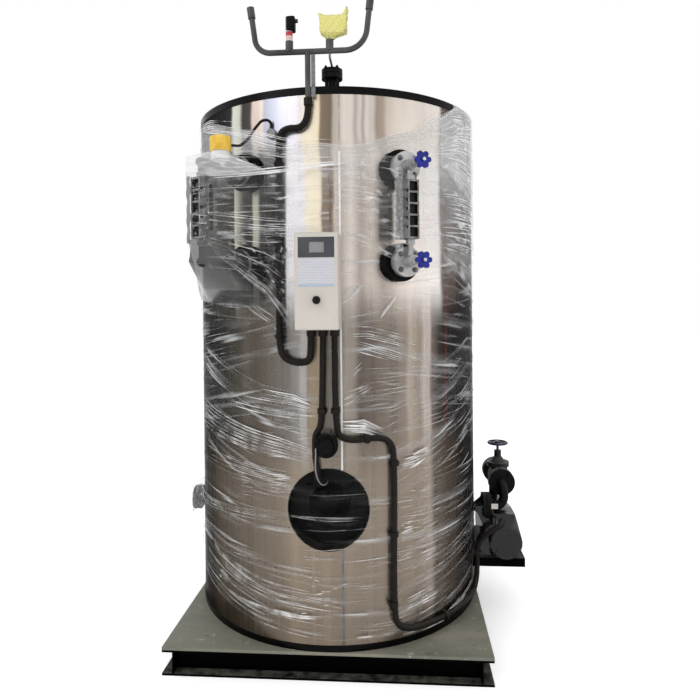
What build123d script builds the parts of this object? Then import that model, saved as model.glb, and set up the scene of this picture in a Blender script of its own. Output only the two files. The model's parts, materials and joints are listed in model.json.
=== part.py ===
from build123d import *
from math import acos, atan2, cos, degrees, radians, sin, sqrt, tan
import os

# Vertical industrial steam boiler on a channel skid.
# Millimetres, +Z up, front is -Y, origin on the floor under the shell's axis.
# Angles run round the shell from the front, positive to the right (+X).

# Shell and skid
shell_r = 650.0
cladding_t = 1.5
body_h = 2200.0
rim_h = 30.0
rim_out = 2.0
rim_stand = 14.0
cover_t = 6.0
ring_h = 25.0
ring_out = 2.0
base_lip_side = 1.0
base_lip_front = 3.0
base_t = 12.0
beam_h = 100.0
beam_flange_w = 48.0
beam_flange_t = 8.5
beam_web_t = 6.0
lip = 0.5
run_fit = 0.05

# Burner port
burner_x = 18.0
burner_z = 665.0
port_r = 161.5
port_wall = 3.0
port_out = 3.0
port_depth = 62.0
burner_plate_t = 16.0
burner_hole_r = 85.0
burner_stud_pcd = 230.0
burner_stud_r = 6.5
burner_stud_count = 4
throat_r = 96.0
throat_depth = 330.0

# Inspection nozzle above the burner port
inspect_x = 18.0
inspect_z = 926.0
inspect_neck_r = 26.0
inspect_reach = 42.0
inspect_flange_r = 46.0
inspect_flange_t = 14.0
inspect_cap_r = 28.0
inspect_cap_t = 14.0
inspect_nub_r = 6.0
inspect_nub_len = 16.0

# Water gauge stubs
gauge_angle = 26.7
gauge_drop = 322.0
gauge_spread = 365.0
collar_r = 75.0
collar_len = 48.0
collar_rib_count = 4
collar_rib_gap = 5.0
collar_rib_depth = 3.0
stub_pipe_r = 20.0
stub_flange_r = 57.5
stub_flange_t = 18.0
stub_reach = 84.0
cock_flange_r = 57.5
cock_flange_t = 14.0

# Right gauge with its two cocks
gauge_right_reach = 119.0
cock_body_r = 23.0
cock_body_len = 66.0
cock_gland_r = 14.0
cock_gland_len = 34.0
cock_nut_r = 19.0
cock_nut_t = 14.0
union_nut_r = 18.0
union_nut_h = 20.0
cock_wheel_reach = 215.0
cock_wheel_r = 33.0
cock_wheel_lobes = 6
cock_wheel_t = 11.0
cock_wheel_hub_r = 9.0
cock_wheel_hub_out = 3.0
cock_wheel_lobe_r = 10.5
cock_wheel_nut_r = 7.0
cock_wheel_nut_t = 5.0
cock_spindle_r = 5.0
cock_spindle_in = 22.0
spindle_end_gap = 2.0

# Left gauge, further out on two arms
gauge_left_reach = 276.0
arm_r = 13.0
arm_elbow_r = 19.0

# Both gauges
gauge_h = 222.0
gauge_lift = 12.5
gauge_w = 60.0
gauge_body_t = 46.0
gauge_cover_t = 26.0
gauge_bolts = 6
gauge_pitch = 34.0
gauge_notch = 8.0
gauge_notch_h = 12.0
gauge_slot_w = 20.0
gauge_slot_h = 170.0
gauge_glass_set = 6.0
gauge_cells = 5
gauge_rib = 7.0
gauge_cell_wall = 6.0
gauge_cell_depth = 14.0
nipple_r = 11.0

# Level sensor on the left upper arm
sensor_reach = 173.0
sensor_body_r = 36.0
sensor_body_h = 58.0
sensor_neck_r = 17.0
sensor_neck_h = 26.0
sensor_cap_r = 40.0
sensor_cap_h = 57.0
sensor_cap_round = 8.0

# Junction cap beside the left conduit
junction_angle = -17.4
junction_drop = 173.0
junction_r = 20.0
junction_t = 14.0

# Control box
box_x = -3.0
box_w = 165.0
box_h = 361.0
box_bottom_z = 1371.0
box_depth = 118.0
box_standoff = 10.0
box_corner = 6.0
face_t = 4.0
face_gap = 3.0
window_w = 136.0
window_h = 76.0
window_top = 14.0
window_t = 3.0
window_set = 1.5
rail_w = 30.0
rail_x = 52.0
rail_depth = 60.0
knob_z = 1482.0
knob_r = 12.5
knob_len = 20.0
knob_collar_r = 15.0
knob_collar_t = 3.0
knob_grip_w = 5.0
knob_grip_h = 14.0
knob_shaft_r = 4.0
knob_shaft_in = 12.0
knob_gap = 1.0

# Instrument header in front of the rim
header_gap = 5.0
header_rise = 130.0
header_r = 11.0
header_left_x = -242.0
header_right_x = 178.0
header_left_bend = 60.0
header_right_bend = 85.0
header_left_rise = 150.0
header_right_rise = 166.0
header_left_lean = 20.0
header_right_lean = 20.0
coupling_r = 14.5
coupling_len = 42.0
leg_x = -43.0
leg_drop = 50.0
leg_fitting_r = 17.0
leg_fitting_h = 28.0
support_x = -22.0
support_w = 16.0
support_t = 4.0
support_drop = 46.0
support_foot_h = 24.0
tee_transmitter_x = -114.0
tee_controller_x = 43.0
tee_r = 15.0
tee_h = 41.0
transmitter_r = 13.5
transmitter_h = 42.0
transmitter_plug_r = 14.0
transmitter_plug_h = 52.0
transmitter_exit_r = 7.5
transmitter_exit_len = 34.0
controller_w = 105.0
controller_d = 52.0
controller_h = 76.0
controller_stem_r = 8.0
controller_stem_h = 14.0
controller_shift = 15.5
controller_round = 5.0
impulse_r = 4.5
impulse_inset = 60.0
impulse_slope = 3.0
impulse_bend = 8.0

# Nozzles on the top cover
top_nozzle_r = 41.5
top_nozzle_flange_t = 18.0
top_nozzle_neck_r = 17.0
top_nozzle_rise = 59.0
gasket_gap = 2.0
blank_gasket_inset = 10.0
flue_r = 109.5
flue_wall = 4.0
flue_h = 120.0
flue_ring_r = 128.0
flue_ring_t = 6.0
steam_y = 330.0
steam_x = -150.0
steam_pipe_r = 38.0
steam_bore_r = 32.5
steam_h = 150.0
steam_flange_r = 92.5
steam_flange_t = 20.0
steam_hole_pcd = 145.0
steam_hole_count = 8
steam_hole_r = 9.0
safety_x = 190.0
safety_y = 330.0
safety_pipe_r = 24.0
safety_bore_r = 18.5
safety_h = 140.0
safety_flange_r = 70.0
safety_flange_t = 18.0
safety_hole_pcd = 100.0
safety_hole_count = 4
safety_hole_r = 9.0

# Blanked nozzle on the left side, a mirror of the feed nozzle's height
side_nozzle_angle = -90.0
side_nozzle_z = 495.0
side_neck_r = 21.2
side_reach = 46.0
side_flange_r = 57.5
side_flange_t = 16.0
side_blank_t = 14.0

# Stretch film pulled from the gauges to the shell
film_t = 2.0
film_gap = 0.4
film_lift = 2.0
film_hem = 40.0
film_left_drop = 235.0
film_left_rise = 70.0
film_inner_lift = 140.0
film_right_lift = 95.0
film_right_hem = 70.0
film_right_drop = 325.0
film_right_rise = 260.0
film_left_end = 0.0
film_right_end = 6.0

# Thin loose lead from the inspection cap into the burner port
cap_lead_r = 2.5

# Conduits and clips
conduit_r = 14.0
conduit_off = 5.0
clip_w = 16.0
clip_t = 4.0
box_gland_h = 28.0
box_gland_r = 17.0
gland_middle_x = 7.0
gland_pitch = 45.5
gland_inset = 20.0
hose_drop = 162.0
hose_sag = 5.0
hose_angle = -13.6
left_run_angle = -14.2
left_run_top = 90.0
u_turn_z = 1245.0
u_turn_lead = 50.0
clip_row_z = 1048.0
clip_row_below = 50.0
cross_z = 946.0
cross_sag = 9.0
cross_drop = 76.0
low_run_z = 172.0
low_bend = 80.0
riser_lift = 4.0
sensor_conduit_r = 5.5
burner_lead_left = 48.0
burner_lead_out = 34.0
burner_lead_down = 52.0
lead_front = 24.0
lead_straight = 60.0
terminal_port_up = 24.0
terminal_port_in = 16.0
gland_straight = 40.0

# Feed water nozzle, valve and pump on the right side
feed_reach = 130.0
feed_y = -110.0
feed_z = 505.0
feed_pipe_r = 21.2
feed_bend = 48.0
feed_flange_r = 65.0
feed_flange_t = 18.0
feed_flange_reach = 47.0
feed_gusset_t = 8.0
feed_gusset_rise = 52.0
feed_gusset_sink = 20.0
gasket_inset = 18.0
valve_rise = 98.0
valve_back = 66.0
valve_len = 200.0
valve_flange_r = 62.0
valve_flange_t = 18.0
valve_body_r = 46.0
valve_neck_r = 34.0
valve_port_r = 27.0
bonnet_flange_r = 54.0
bonnet_flange_t = 22.0
bonnet_base_h = 59.0
bonnet_dome_h = 26.0
bonnet_neck_r = 17.0
bonnet_step = 16.0
bonnet_h = 66.0
valve_wheel_rise = 36.0
valve_wheel_r = 50.0
valve_wheel_rim_r = 5.5
valve_wheel_hub_r = 13.0
valve_wheel_hub_h = 16.0
valve_wheel_spokes = 4
valve_wheel_spoke_w = 9.0
valve_wheel_spoke_t = 6.0
valve_spindle_r = 6.0
valve_spindle_in = 30.0
pump_z = 356.0
motor_r = 70.0
motor_len = 210.0
motor_front = 62.0
motor_fin_count = 24
motor_fin_w = 3.0
motor_fin_depth = 6.0
motor_end = 25.0
fan_cover_r = 72.0
fan_cover_len = 48.0
fan_cover_chamfer = 8.0
motor_foot_set = 60.0
motor_foot_d = 70.0
pump_foot_w = 96.0
pump_foot_set = 20.0
pump_foot_d = 40.0
terminal_w = 92.0
terminal_d = 96.0
terminal_h = 48.0
terminal_front = 20.0
pump_r = 74.0
pump_port_r = 28.0
pump_port_h = 30.0
pump_past_riser = 40.0
riser_bend = 44.0
riser_straight = 14.0
pump_foot_h = 75.0
shelf_t = 6.0
shelf_reach = 218.0
shelf_front = 40.0
shelf_back = 34.0
shelf_angle = 40.0
shelf_angle_t = 5.0

# Levels and radii worked out from the sizes above
plate_bottom = beam_h
plate_top = beam_h + base_t
shell_bottom = plate_top + ring_h
top_z = plate_top + body_h
rim_bottom = top_z - rim_h
cover_top = top_z - rim_stand
cover_bottom = cover_top - cover_t
vessel_r = shell_r - cladding_t
ring_r = shell_r + ring_out
rim_r = shell_r + rim_out
box_front_y = -(shell_r + box_standoff + box_depth)
box_back_y = -(shell_r + box_standoff)
box_top_z = box_bottom_z + box_h
conduit_path_r = shell_r + conduit_off + conduit_r
burner_plate_y = -shell_r + port_depth
base_w = 2 * (shell_r + base_lip_side)
base_d = 2 * (shell_r + base_lip_front)
gauge_high_z = top_z - gauge_drop
gauge_low_z = gauge_high_z - gauge_spread
gauge_mid_z = (gauge_low_z + gauge_high_z) / 2 + gauge_lift
film_left_low = gauge_low_z + film_hem
film_left_high = gauge_high_z - film_hem
film_left_shell_low = gauge_low_z - film_left_drop
film_left_shell_high = gauge_high_z + film_left_rise
film_inner_low = gauge_low_z + film_inner_lift
film_right_low = gauge_low_z + film_right_lift
film_right_high = gauge_high_z - film_right_hem
film_right_shell_low = gauge_low_z - film_right_drop
film_right_shell_high = gauge_high_z + film_right_rise
header_y = -(rim_r + header_gap + header_r)
header_z = top_z + header_rise
leg_bottom_z = top_z - leg_drop
support_bottom_z = top_z - support_drop
junction_z = top_z - junction_drop
top_nozzle_flange_z = cover_top + top_nozzle_rise
impulse_y = -(shell_r - impulse_inset)
hose_shelf_z = top_z - hose_drop
gland_y = box_back_y - gland_inset
feed_x = shell_r + feed_reach
feed_flange_x = shell_r + feed_flange_reach
valve_z = feed_z + valve_rise
valve_face_y = feed_y + valve_back
valve_mid_y = valve_face_y + gasket_gap + valve_len / 2
valve_end_y = valve_face_y + gasket_gap + valve_len
bonnet_base_z = valve_z + bonnet_base_h
bonnet_top_z = bonnet_base_z + bonnet_h
valve_wheel_z = bonnet_top_z + valve_wheel_rise
riser_y = valve_end_y + riser_bend + riser_straight
pump_end_y = riser_y + pump_past_riser
motor_front_y = feed_y - motor_front
motor_back_y = motor_front_y + motor_len
terminal_y = feed_y - terminal_front
terminal_port_z = pump_z + motor_r + terminal_port_up
terminal_port_x = feed_x - terminal_port_in
shelf_z = pump_z - pump_foot_h
shelf_x1 = shell_r + shelf_reach
shelf_y0 = feed_y - shelf_front
shelf_y1 = riser_y + shelf_back

parts = {}


def polar(angle, r, z):
    """Point at an angle round the shell."""
    a = radians(angle)
    return Vector(r * sin(a), -r * cos(a), z)


def outward(angle, r, z):
    """Plane that looks outward: local X to the right, local Y up."""
    a = radians(angle)
    return Plane(origin=polar(angle, r, z), x_dir=(cos(a), sin(a), 0), z_dir=(sin(a), -cos(a), 0))


def rod(plane, r, length, start=0.0):
    """Cylinder along the plane's normal."""
    return extrude(plane.offset(start) * Circle(r), length)


def ring(plane, r, hole_r, length, start=0.0):
    """Tube along the plane's normal."""
    return extrude(plane.offset(start) * (Circle(r) - Circle(hole_r)), length)


def hole_circle(plane, pcd, count, r, depth, start_angle):
    """Bars for a circle of holes."""
    spots = PolarLocations(pcd / 2, count, start_angle=start_angle)
    return Compound(children=[extrude(plane * spot * Circle(r), depth) for spot in spots])


def upright(x, y, z):
    """Plane that looks up at a point."""
    return Plane(origin=(x, y, z), x_dir=(1, 0, 0), z_dir=(0, 0, 1))


def facing_front(x, y, z):
    """Plane that looks to the front at a point: local X to the right, local Y up."""
    return Plane(origin=(x, y, z), x_dir=(1, 0, 0), z_dir=(0, -1, 0))


def facing_right(x, y, z):
    """Plane that looks to +X at a point: local X to the back, local Y up."""
    return Plane(origin=(x, y, z), x_dir=(0, 1, 0), z_dir=(1, 0, 0))


def block(x0, x1, y0, y1, z0, z1):
    """Box between two corners."""
    return Pos((x0 + x1) / 2, (y0 + y1) / 2, (z0 + z1) / 2) * Box(x1 - x0, y1 - y0, z1 - z0)


def pipe(path, r):
    """Round bar along a path."""
    start = Plane(origin=path @ 0, z_dir=path % 0)
    return sweep(start * Circle(r), path=path)


def shell_core(r):
    """Solid cylinder on the shell's axis, to trim pieces that seat on it."""
    return Pos(0, 0, top_z / 2) * Cylinder(r, top_z + 2 * body_h)


def channel(length):
    """Rolled channel along +Y from 0, web on the Z axis, flanges towards +X."""
    half = beam_h / 2
    outline = Polyline(
        (0, -half), (beam_flange_w, -half), (beam_flange_w, -half + beam_flange_t),
        (beam_web_t, -half + beam_flange_t), (beam_web_t, half - beam_flange_t),
        (beam_flange_w, half - beam_flange_t), (beam_flange_w, half), (0, half), close=True)
    section = make_face(outline)
    profile = Plane(origin=(0, 0, half), x_dir=(1, 0, 0), z_dir=(0, -1, 0)) * section
    return extrude(profile, -length)


def skid_frame():
    half_w = base_w / 2
    half_d = base_d / 2
    side_web = half_w - beam_flange_w
    right = Pos(side_web, -half_d, 0) * channel(base_d)
    left = mirror(right, Plane.YZ)
    cross_len = 2 * side_web
    cross = Rot(0, 0, -90) * channel(cross_len)
    front = Pos(-side_web, -half_d + beam_flange_w, 0) * cross
    rear = mirror(front, Plane.XZ)
    middle_len = base_d - 2 * beam_flange_w
    middle = Pos(-beam_flange_w / 2, -middle_len / 2, 0) * channel(middle_len)
    return right + left + front + rear + middle


def base_plate():
    return block(-base_w / 2, base_w / 2, -base_d / 2, base_d / 2, plate_bottom, plate_top)


def shell_base_ring():
    return ring(upright(0, 0, plate_top), ring_r, vessel_r, ring_h)


def stub_points():
    """Angle and height of the four gauge stubs."""
    return [(side * gauge_angle, z) for side in (-1, 1) for z in (gauge_low_z, gauge_high_z)]


def pressure_vessel():
    body = rod(upright(0, 0, plate_top), vessel_r, cover_bottom - plate_top)
    port = facing_front(burner_x, 0, burner_z)
    recess = rod(port, port_r, shell_r, -(burner_plate_y + burner_plate_t))
    throat_end = -(burner_plate_y + burner_plate_t) - throat_depth
    throat = rod(port, throat_r, throat_depth, throat_end)
    return body - recess - throat


def cladding_shell():
    skin = ring(upright(0, 0, shell_bottom), shell_r, vessel_r, rim_bottom - shell_bottom)
    skin -= rod(facing_front(burner_x, 0, burner_z), port_r, 2 * shell_r)
    skin -= rod(facing_front(inspect_x, 0, inspect_z), inspect_neck_r + lip, 2 * shell_r)
    skin -= rod(facing_right(0, feed_y, feed_z), feed_pipe_r + lip, 2 * shell_r)
    skin -= rod(outward(side_nozzle_angle, 0, side_nozzle_z), side_neck_r + lip, 2 * shell_r)
    for angle, z in stub_points():
        skin -= rod(outward(angle, 0, z), stub_pipe_r + lip, 2 * shell_r)
    return skin


def top_rim_band():
    return ring(upright(0, 0, rim_bottom), rim_r, vessel_r, rim_h)


def top_cover():
    return rod(upright(0, 0, cover_bottom), vessel_r, cover_t)


def flue_collar():
    tube = ring(upright(0, 0, cover_top), flue_r, flue_r - flue_wall, flue_h)
    foot = ring(upright(0, 0, cover_top), flue_ring_r, flue_r, flue_ring_t)
    return tube + foot


def flanged_nozzle(x, y, pipe_r, bore_r, height, flange_r, flange_t, pcd, count, hole_r):
    """Upright nozzle on the top cover with a drilled flange."""
    top = cover_top + height
    body = rod(upright(x, y, cover_top), pipe_r, height)
    body += rod(upright(x, y, top - flange_t), flange_r, flange_t)
    body -= rod(upright(x, y, cover_top), bore_r, height)
    return body - hole_circle(upright(x, y, top - flange_t), pcd, count, hole_r, flange_t, 180 / count)


def steam_outlet():
    return flanged_nozzle(steam_x, steam_y, steam_pipe_r, steam_bore_r, steam_h, steam_flange_r,
                          steam_flange_t, steam_hole_pcd, steam_hole_count, steam_hole_r)


def safety_valve_nozzle():
    return flanged_nozzle(safety_x, safety_y, safety_pipe_r, safety_bore_r, safety_h, safety_flange_r,
                          safety_flange_t, safety_hole_pcd, safety_hole_count, safety_hole_r)


def burner_collar():
    port = facing_front(burner_x, 0, burner_z)
    tube = ring(port, port_r, port_r - port_wall, shell_r + port_out - (-burner_plate_y), -burner_plate_y)
    return tube & shell_core(shell_r + port_out)


def burner_plate():
    port = facing_front(burner_x, burner_plate_y + burner_plate_t, burner_z)
    plate = ring(port, port_r, burner_hole_r, burner_plate_t)
    return plate - hole_circle(port, burner_stud_pcd, burner_stud_count, burner_stud_r, burner_plate_t, 45)


def inspection_nozzle():
    port = facing_front(inspect_x, 0, inspect_z)
    neck = rod(port, inspect_neck_r, shell_r + inspect_reach)
    neck -= shell_core(vessel_r)
    neck = neck.solids().sort_by(Axis.Y)[0]
    return neck + rod(port, inspect_flange_r, inspect_flange_t, shell_r + inspect_reach)


def inspection_cap():
    face = shell_r + inspect_reach + inspect_flange_t
    port = facing_front(inspect_x, 0, inspect_z)
    cap = rod(port, inspect_cap_r, inspect_cap_t, face)
    side = Plane(origin=(inspect_x, -face - inspect_cap_t / 2, inspect_z), z_dir=(-1, 0, 0))
    cap += rod(side, inspect_nub_r, inspect_cap_r + inspect_nub_len)
    return cap


def trimmed_stub(angle, z, r, length):
    """Bar from the vessel outwards, its foot cut to the vessel's curve."""
    bar = rod(outward(angle, vessel_r - stub_reach, z), r, length + stub_reach)
    return bar - shell_core(vessel_r)


def stub_collars():
    group = []
    for angle, z in stub_points():
        bar = rod(outward(angle, shell_r - collar_len, z), collar_r, 2 * collar_len)
        for index in range(collar_rib_count):
            start = 2 * collar_len - (index + 1) * 2 * collar_rib_gap
            groove = ring(outward(angle, shell_r - collar_len, z), collar_r + lip,
                          collar_r - collar_rib_depth, collar_rib_gap, start)
            bar -= groove
        bar -= shell_core(shell_r)
        bar -= rod(outward(angle, 0, z), stub_pipe_r, 2 * shell_r)
        group.append(bar)
    return Compound(children=[solid for piece in group for solid in piece.solids()])


def stub_flanges():
    group = []
    for angle, z in stub_points():
        bar = trimmed_stub(angle, z, stub_pipe_r, cladding_t + stub_reach - stub_flange_t)
        bar += rod(outward(angle, shell_r + stub_reach - stub_flange_t, z), stub_flange_r, stub_flange_t)
        group.append(bar)
    return Compound(children=[solid for piece in group for solid in piece.solids()])


def gauge_plane(side, reach):
    """Plane at a gauge's middle: local Z outward, local X to the right."""
    return outward(side * gauge_angle, shell_r + reach, gauge_mid_z)


def gauge_slab(plane, x0, x1):
    """Upright slab between two local X values, notched between its bolts."""
    half = gauge_h / 2
    slab = plane * Pos((x0 + x1) / 2, 0, 0) * Box(x1 - x0, gauge_h, gauge_w)
    first = -gauge_pitch * (gauge_bolts - 1) / 2
    for index in range(gauge_bolts - 1):
        y = first + gauge_pitch * (index + 0.5)
        for z in (-gauge_w / 2, gauge_w / 2):
            notch = Box(x1 - x0, gauge_notch_h, 2 * gauge_notch)
            slab -= plane * Pos((x0 + x1) / 2, y, z) * notch
    return slab


def gauge_body(side, reach):
    """Slab that carries the nipples, centred on them, with open cells between its ribs."""
    plane = gauge_plane(side, reach)
    body = plane * Box(gauge_body_t, gauge_h, gauge_w)
    pitch = (gauge_h - gauge_rib) / gauge_cells
    cell = Box(gauge_body_t - 2 * gauge_cell_wall, pitch - gauge_rib, 2 * gauge_cell_depth)
    for index in range(gauge_cells):
        y = (index + 0.5 - gauge_cells / 2) * pitch
        for z in (-gauge_w / 2, gauge_w / 2):
            body -= plane * Pos(0, y, z) * cell
    return body


def cover_span(side):
    """Local X range of a gauge's cover, on the side that looks to the front."""
    near = gauge_body_t / 2
    far = near + gauge_cover_t
    return (-far, -near) if side > 0 else (near, far)


def gauge_window(side, reach, x0, x1):
    """Round-ended bar between two local X values, for the glass and its slot."""
    plane = gauge_plane(side, reach)
    looking = Plane(origin=plane.origin + plane.x_dir * x0, x_dir=plane.z_dir, z_dir=plane.x_dir)
    return extrude(looking * SlotOverall(gauge_slot_h, gauge_slot_w, rotation=90), x1 - x0)


def gauge_cover(side, reach):
    x0, x1 = cover_span(side)
    cover = gauge_slab(gauge_plane(side, reach), x0, x1)
    return cover - gauge_window(side, reach, x0, x1)


def gauge_glass(side, reach):
    x0, x1 = cover_span(side)
    if side > 0:
        return gauge_window(side, reach, x0 + gauge_glass_set, x1)
    return gauge_window(side, reach, x0, x1 - gauge_glass_set)


def both_gauges(make):
    """Left and right gauge pieces in one node."""
    pieces = [make(-1, gauge_left_reach), make(1, gauge_right_reach)]
    return Compound(children=[solid for piece in pieces for solid in piece.solids()])


def hex_bar(plane, r, length):
    """Six-sided bar along the plane's normal."""
    return extrude(plane * RegularPolygon(r, 6), length)


def union_nut(base, end, way):
    """Nut round a gauge's nipple, against the gauge's end."""
    start = end if way < 0 else end - union_nut_h
    return hex_bar(upright(base.X, base.Y, start), union_nut_r, union_nut_h)


def right_gauge_cocks():
    group = []
    for z, way in ((gauge_high_z, -1), (gauge_low_z, 1)):
        plane = outward(gauge_angle, shell_r + stub_reach, z)
        cock = rod(plane, cock_flange_r, cock_flange_t)
        cock += rod(plane, cock_body_r, cock_body_len)
        cock += rod(plane, cock_gland_r, cock_gland_len, cock_body_len)
        cock += hex_bar(plane.offset(cock_body_len), cock_nut_r, cock_nut_t)
        base = polar(gauge_angle, shell_r + gauge_right_reach, 0)
        end = gauge_mid_z + gauge_h / 2 if way < 0 else gauge_mid_z - gauge_h / 2
        cock += rod(upright(base.X, base.Y, min(end, z)), nipple_r, abs(z - end))
        cock += union_nut(base, end, way)
        end_reach = cock_body_len + cock_gland_len
        hole = rod(plane, cock_spindle_r + run_fit, cock_spindle_in + spindle_end_gap,
                   end_reach - cock_spindle_in - spindle_end_gap)
        group.append(cock - hole)
    return Compound(children=[solid for piece in group for solid in piece.solids()])


def left_gauge_arms():
    group = []
    for z, way in ((gauge_high_z, -1), (gauge_low_z, 1)):
        plane = outward(-gauge_angle, shell_r + stub_reach, z)
        length = gauge_left_reach - stub_reach
        arm = rod(plane, cock_flange_r, cock_flange_t)
        arm += rod(plane, arm_r, length)
        base = polar(-gauge_angle, shell_r + gauge_left_reach, 0)
        arm += Pos(base.X, base.Y, z) * Sphere(arm_elbow_r)
        end = gauge_mid_z + gauge_h / 2 if way < 0 else gauge_mid_z - gauge_h / 2
        arm += rod(upright(base.X, base.Y, min(end, z)), nipple_r, abs(z - end))
        arm += union_nut(base, end, way)
        arm += hex_bar(plane.offset(cock_flange_t), cock_nut_r, cock_nut_t)
        arm += hex_bar(plane.offset(length - arm_elbow_r - cock_nut_t), cock_nut_r, cock_nut_t)
        group.append(arm)
    return Compound(children=[solid for piece in group for solid in piece.solids()])


def level_sensor():
    base = polar(-gauge_angle, shell_r + sensor_reach, gauge_high_z)
    neck = rod(upright(base.X, base.Y, gauge_high_z), sensor_neck_r, sensor_neck_h)
    body = rod(upright(base.X, base.Y, gauge_high_z + sensor_neck_h), sensor_body_r, sensor_body_h - sensor_neck_h)
    arm = rod(outward(-gauge_angle, shell_r + stub_reach, gauge_high_z), arm_r, gauge_left_reach)
    return neck + body - arm


def level_sensor_cap():
    base = polar(-gauge_angle, shell_r + sensor_reach, gauge_high_z + sensor_body_h)
    cap = rod(upright(base.X, base.Y, base.Z), sensor_cap_r, sensor_cap_h)
    return fillet(cap.edges().group_by(Axis.Z)[-1], sensor_cap_round)


def cock_wheel(z):
    """Star handwheel with its spindle."""
    plane = outward(gauge_angle, shell_r + cock_wheel_reach, z)
    lobe_ring = cock_wheel_r - cock_wheel_lobe_r
    lobes = PolarLocations(lobe_ring, cock_wheel_lobes)
    outline = Circle(lobe_ring)
    for lobe in lobes:
        outline += lobe * Circle(cock_wheel_lobe_r)
    wheel = extrude(plane * outline, cock_wheel_t)
    wheel += rod(plane, cock_wheel_hub_r, cock_wheel_t + 2 * cock_wheel_hub_out, -cock_wheel_hub_out)
    tip = stub_reach + cock_body_len + cock_gland_len - cock_spindle_in
    spindle = rod(outward(gauge_angle, shell_r + tip, z), cock_spindle_r, cock_wheel_reach - tip)
    wheel += hex_bar(plane.offset(cock_wheel_t + cock_wheel_hub_out), cock_wheel_nut_r, cock_wheel_nut_t)
    return wheel + spindle


def upper_cock_wheel():
    return cock_wheel(gauge_high_z)


def lower_cock_wheel():
    return cock_wheel(gauge_low_z)


def junction_cap():
    cap = rod(outward(junction_angle, shell_r - junction_t, junction_z), junction_r, 2 * junction_t)
    return cap - shell_core(shell_r)


def control_box():
    body = block(box_x - box_w / 2, box_x + box_w / 2, box_front_y + face_t, box_back_y, box_bottom_z, box_top_z)
    body = fillet(body.edges().filter_by(Axis.Y), box_corner)
    hole = facing_front(box_x, box_front_y + face_t, knob_z)
    return body - rod(hole, knob_shaft_r + run_fit, knob_shaft_in, -knob_shaft_in)


def panel_rails():
    rails = []
    for x in (box_x - rail_x, box_x + rail_x):
        rail = block(x - rail_w / 2, x + rail_w / 2, box_back_y, box_back_y + rail_depth, box_bottom_z, box_top_z)
        rails.append(rail - shell_core(shell_r))
    return Compound(children=[solid for rail in rails for solid in rail.solids()])


def panel_face():
    x0 = box_x - box_w / 2 + face_gap
    x1 = box_x + box_w / 2 - face_gap
    face = block(x0, x1, box_front_y, box_front_y + face_t, box_bottom_z + face_gap, box_top_z - face_gap)
    face = fillet(face.edges().filter_by(Axis.Y), box_corner - face_gap)
    window_z = box_top_z - face_gap - window_top - window_h / 2
    face -= Pos(box_x, box_front_y, window_z) * Box(window_w, 2 * window_t, window_h)
    face -= rod(facing_front(box_x, box_front_y + face_t, knob_z), knob_shaft_r + run_fit, face_t)
    return face


def display_window():
    window_z = box_top_z - face_gap - window_top - window_h / 2
    y = box_front_y + window_t - (window_t - window_set) / 2
    return Pos(box_x, y, window_z) * Box(window_w, window_t - window_set, window_h)


def selector_knob():
    front = facing_front(box_x, box_front_y - knob_gap, knob_z)
    knob = rod(front, knob_collar_r, knob_collar_t)
    knob += rod(front, knob_r, knob_len)
    grip = front * Pos(0, 0, knob_len) * Box(knob_grip_w, 2 * knob_r, knob_grip_h)
    shaft = rod(front, knob_shaft_r, knob_shaft_in + knob_gap, -(knob_shaft_in + knob_gap))
    return knob + grip + shaft


def header_path():
    """The header's centre line, from its left end to its right end."""
    points = [
        (header_left_x - header_left_lean, header_y, header_z + header_left_rise),
        (header_left_x, header_y, header_z),
        (header_right_x, header_y, header_z),
        (header_right_x + header_right_lean, header_y, header_z + header_right_rise),
    ]
    return FilletPolyline(*points, radius=[header_left_bend, header_right_bend])


def instrument_header():
    path = header_path()
    header = pipe(path, header_r)
    for at, way in ((0, -1), (1, 1)):
        end = path @ at
        direction = (path % at) * way
        plane = Plane(origin=end, z_dir=direction)
        header += rod(plane, coupling_r, coupling_len, -coupling_len / 3)
    for x in (tee_transmitter_x, tee_controller_x):
        header += rod(upright(x, header_y, header_z), tee_r, tee_h)
    header += rod(upright(leg_x, header_y, leg_bottom_z), header_r, header_z - leg_bottom_z)
    return header


def header_support():
    y1 = header_y + support_t / 2
    y0 = header_y - support_t / 2
    x0 = support_x - support_w / 2
    x1 = support_x + support_w / 2
    strap = block(x0, x1, y0, y1, support_bottom_z, header_z)
    foot_z = (rim_bottom + top_z - support_foot_h) / 2
    foot = block(x0, x1, y0, 0, foot_z, foot_z + support_foot_h)
    foot -= shell_core(rim_r)
    foot = foot.solids().sort_by(Axis.Y)[0]
    header = rod(facing_right(-shell_r, header_y, header_z), header_r, 2 * shell_r)
    return strap + foot - header


def pressure_transmitter():
    base = header_z + tee_h
    body = rod(upright(tee_transmitter_x, header_y, base), transmitter_r, transmitter_h)
    plug_z = base + transmitter_h
    body += rod(upright(tee_transmitter_x, header_y, plug_z), transmitter_plug_r, transmitter_plug_h)
    side = facing_right(tee_transmitter_x, header_y, plug_z + transmitter_plug_h - 2 * transmitter_exit_r)
    return body + rod(side, transmitter_exit_r, transmitter_exit_len)


def pressure_controller():
    base = header_z + tee_h
    stem = rod(upright(tee_controller_x, header_y, base), controller_stem_r, controller_stem_h)
    z = base + controller_stem_h
    case = Box(controller_w, controller_d, controller_h)
    case = Pos(tee_controller_x + controller_shift, header_y, z + controller_h / 2) * case
    return stem + fillet(case.edges(), controller_round)


def impulse_pipe():
    flange_top = top_nozzle_flange_z + 2 * top_nozzle_flange_t + gasket_gap
    start = header_z - header_r
    drop = (start - flange_top) / 2
    points = [
        (tee_controller_x, header_y, start),
        (tee_controller_x, header_y, start - drop + impulse_slope),
        (tee_controller_x, impulse_y, start - drop - impulse_slope),
        (tee_controller_x, impulse_y, flange_top),
    ]
    return pipe(FilletPolyline(*points, radius=[impulse_bend, impulse_bend]), impulse_r)


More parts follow.
